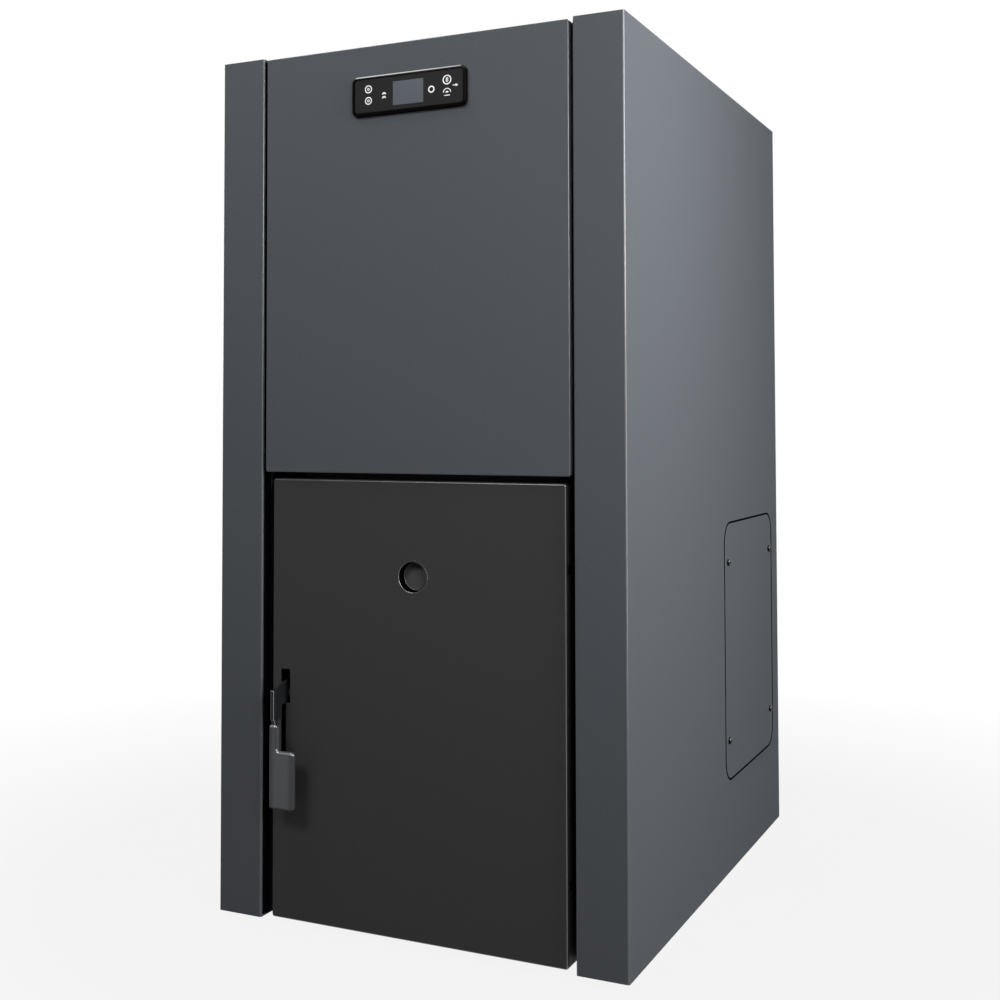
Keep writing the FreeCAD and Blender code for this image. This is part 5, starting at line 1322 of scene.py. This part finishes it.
class BOILER_OT_door_rope(bpy.types.Operator):
    """Knitted rope round the fire opening, pressed flat between the door and the front plate"""

    bl_idname = "boiler.door_rope"
    bl_label = "Door rope"

    def execute(self, context):
        sizes = context.scene.boiler_seals
        pitch = sizes.stitch_pitch
        low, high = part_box("door_seal")
        half_width = sizes.rope_width / 2
        path = rope_path(low, high, half_width, sizes.rope_bend)
        piece = rope_stitches(pitch, sizes.stitch_columns, half_width, (high.y - low.y) / 2)
        apply_modifier(
            piece, "ARRAY", fit_type="FIT_CURVE", curve=path, use_relative_offset=False,
            use_constant_offset=True, constant_offset_displace=(pitch, 0, 0),
        )
        apply_modifier(piece, "CURVE", object=path, deform_axis="POS_X")
        bpy.data.objects.remove(path)
        settle(piece, "door", "rope_seal", "door_seal")
        return {"FINISHED"}


class BOILER_OT_lid_gasket(bpy.types.Operator):
    """Sponge gasket between the hopper's rim and its lid"""

    bl_idname = "boiler.lid_gasket"
    bl_label = "Lid gasket"

    def execute(self, context):
        sizes = context.scene.boiler_seals
        piece = add_block("lid_gasket", *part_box("lid_seal"))
        open_ring(2, sizes.gasket_width)
        round_sharp(piece, sizes.gasket_round, segments=4)
        settle(piece, "lid", "seal_rubber", "lid_seal")
        return {"FINISHED"}


# Stage

SENSOR = 36.0
# Distances in metres from the boiler's middle between which the paper's glow rises, and its share beside it
NEAR_PAPER = 0.7
FAR_PAPER = 1.6
NEAR_GLOW = 0.88
# Lamps as name, place, aim, width and height in metres, and power in watts
LAMPS = [
    ("side_softbox", (1.07, -0.41, 1.26), (0.3, -0.1, 0.8), (0.4, 0.9), 16.0),
    ("front_softbox", (-0.59, -2.24, 2.12), (0.0, -0.4, 0.85), (1.0, 0.7), 32.0),
    ("near_softbox", (1.23, -1.43, 1.33), (0.0, -0.4, 0.85), (0.7, 0.7), 15.0),
    ("right_softbox", (3.2, 0.1, 0.7), (0.3, 0.1, 0.6), (1.6, 1.6), 55.0),
    ("edge_strip", (1.9, -0.75, 0.75), (0.3, -0.4, 0.6), (0.15, 1.5), 5.0),
    ("edge_lamp", (-0.6, -0.75, 2.2), (0.0, -0.4, 0.9), (0.8, 0.4), 11.0),
    ("rear_softbox", (-1.2, 2.6, 2.2), (0.0, 0.4, 0.7), (1.6, 1.2), 50.0),
    ("left_softbox", (-2.6, 0.4, 1.6), (-0.3, 0.0, 0.6), (1.2, 1.6), 30.0),
]


def seen_directly(material):
    """1 for rays from the camera and for rays mirrored or let through by a piece, otherwise 0."""
    path = add_node(material, "ShaderNodeLightPath").outputs
    total = path["Is Camera Ray"]
    for name in ("Is Glossy Ray", "Is Transmission Ray"):
        total = add_node(material, "ShaderNodeMath", {0: total, 1: path[name]}, operation="MAXIMUM")
    return total


def studio_paper(name, shade):
    """Matt paper that throws back a shade of the light, but glows white where it is seen."""
    material, shader = start_finish(name, shade, 1.0, specular=0.0)
    glow = add_node(material, "ShaderNodeEmission", {"Color": WHITE, "Strength": 1.0})
    place = add_node(material, "ShaderNodeTexCoord").outputs["Object"]
    away = add_node(material, "ShaderNodeVectorMath", {0: place}, operation="LENGTH").outputs["Value"]
    limits = {"Value": away, "From Min": NEAR_PAPER, "From Max": FAR_PAPER, "To Min": NEAR_GLOW, "To Max": 1.0}
    glowing = add_node(material, "ShaderNodeMapRange", limits)
    share = add_node(material, "ShaderNodeMath", {0: seen_directly(material), 1: glowing}, operation="MULTIPLY")
    mixed = add_node(material, "ShaderNodeMixShader", {0: share, 1: shader, 2: glow})
    fill_inputs(material.node_tree.nodes["Material Output"], {"Surface": mixed})
    return material


def white_world(scene, fill):
    """Even fill light that looks white where it is seen."""
    world = bpy.data.worlds.new("white_studio")
    world.use_nodes = True
    scene.world = world
    limits = {"Value": seen_directly(world), "To Min": fill, "To Max": 1.0}
    strength = add_node(world, "ShaderNodeMapRange", limits)
    fill_inputs(world.node_tree.nodes["Background"], {"Color": WHITE, "Strength": strength})


class BOILER_OT_stage(bpy.types.Operator):
    """Pale floor, soft light and the camera"""

    bl_idname = "boiler.stage"
    bl_label = "Stage"

    def execute(self, context):
        stage = context.scene.boiler_stage
        clear_bench()
        bpy.ops.mesh.primitive_plane_add(size=stage.floor_size)
        floor = rename(context.object, "studio_floor")
        floor.data.materials.append(studio_paper("white_paper", "#585858"))
        card = add_block("dark_card", stage.card_low, stage.card_high)
        clear_bench()
        card.data.materials.append(studio_paper("dark_paper", "#1c1c1c"))
        white_world(context.scene, stage.fill)
        for name, place, aim, size, power in LAMPS:
            away = Vector(place) - Vector(aim)
            turn = away.to_track_quat("Z", "Y").to_euler()
            bpy.ops.object.light_add(type="AREA", location=place, rotation=turn)
            lamp = rename(context.object, name)
            lamp.data.shape = "RECTANGLE"
            lamp.data.size, lamp.data.size_y = size
            lamp.data.energy = power
        turn = (math.pi / 2 + stage.camera_rise, stage.camera_roll, stage.camera_turn)
        bpy.ops.object.camera_add(location=stage.camera_place, rotation=turn)
        camera = context.object
        camera.data.sensor_width = SENSOR
        camera.data.lens = stage.lens
        camera.data.shift_x, camera.data.shift_y = stage.shift
        context.scene.camera = camera
        context.scene.view_settings.view_transform = "Standard"
        return {"FINISHED"}


# Add-on


class BOILER_PT_pieces(bpy.types.Panel):
    """Settings and steps of the boiler's looks"""

    bl_idname = "BOILER_PT_pieces"
    bl_label = "Pellet boiler"
    bl_space_type = "VIEW_3D"
    bl_region_type = "UI"
    bl_category = "Boiler"

    def draw(self, context):
        for name, group in SETTINGS.items():
            settings = getattr(context.scene, name)
            for key in group.__annotations__:
                self.layout.prop(settings, key)
        for step in STEPS:
            self.layout.operator(step.bl_idname)


SETTINGS = {
    "boiler_colours": BoilerColours,
    "boiler_latch": LatchSizes,
    "boiler_display": DisplaySizes,
    "boiler_seals": SealSizes,
    "boiler_fittings": FittingSizes,
    "boiler_stage": StageSettings,
}
STEPS = [
    BOILER_OT_dress_frame,
    BOILER_OT_latch_lever,
    BOILER_OT_latch_grip,
    BOILER_OT_service_cover,
    BOILER_OT_port_rim,
    BOILER_OT_column_strips,
    BOILER_OT_foot_shoes,
    BOILER_OT_cable_gland,
    BOILER_OT_mains_switch,
    BOILER_OT_display,
    BOILER_OT_key_symbols,
    BOILER_OT_door_rope,
    BOILER_OT_lid_gasket,
    BOILER_OT_stage,
]


def register():
    """Make the settings, steps and panel known."""
    for name, group in SETTINGS.items():
        bpy.utils.register_class(group)
        setattr(bpy.types.Scene, name, PointerProperty(type=group))
    for step in STEPS:
        bpy.utils.register_class(step)
    bpy.utils.register_class(BOILER_PT_pieces)


def unregister():
    """Take the panel, steps and settings away again."""
    bpy.utils.unregister_class(BOILER_PT_pieces)
    for step in reversed(STEPS):
        bpy.utils.unregister_class(step)
    for name, group in SETTINGS.items():
        delattr(bpy.types.Scene, name)
        bpy.utils.unregister_class(group)


def main():
    """Build every piece in order."""
    register()
    for step in STEPS:
        family, name = step.bl_idname.split(".")
        getattr(getattr(bpy.ops, family), name)()


if __name__ == "__main__":
    main()
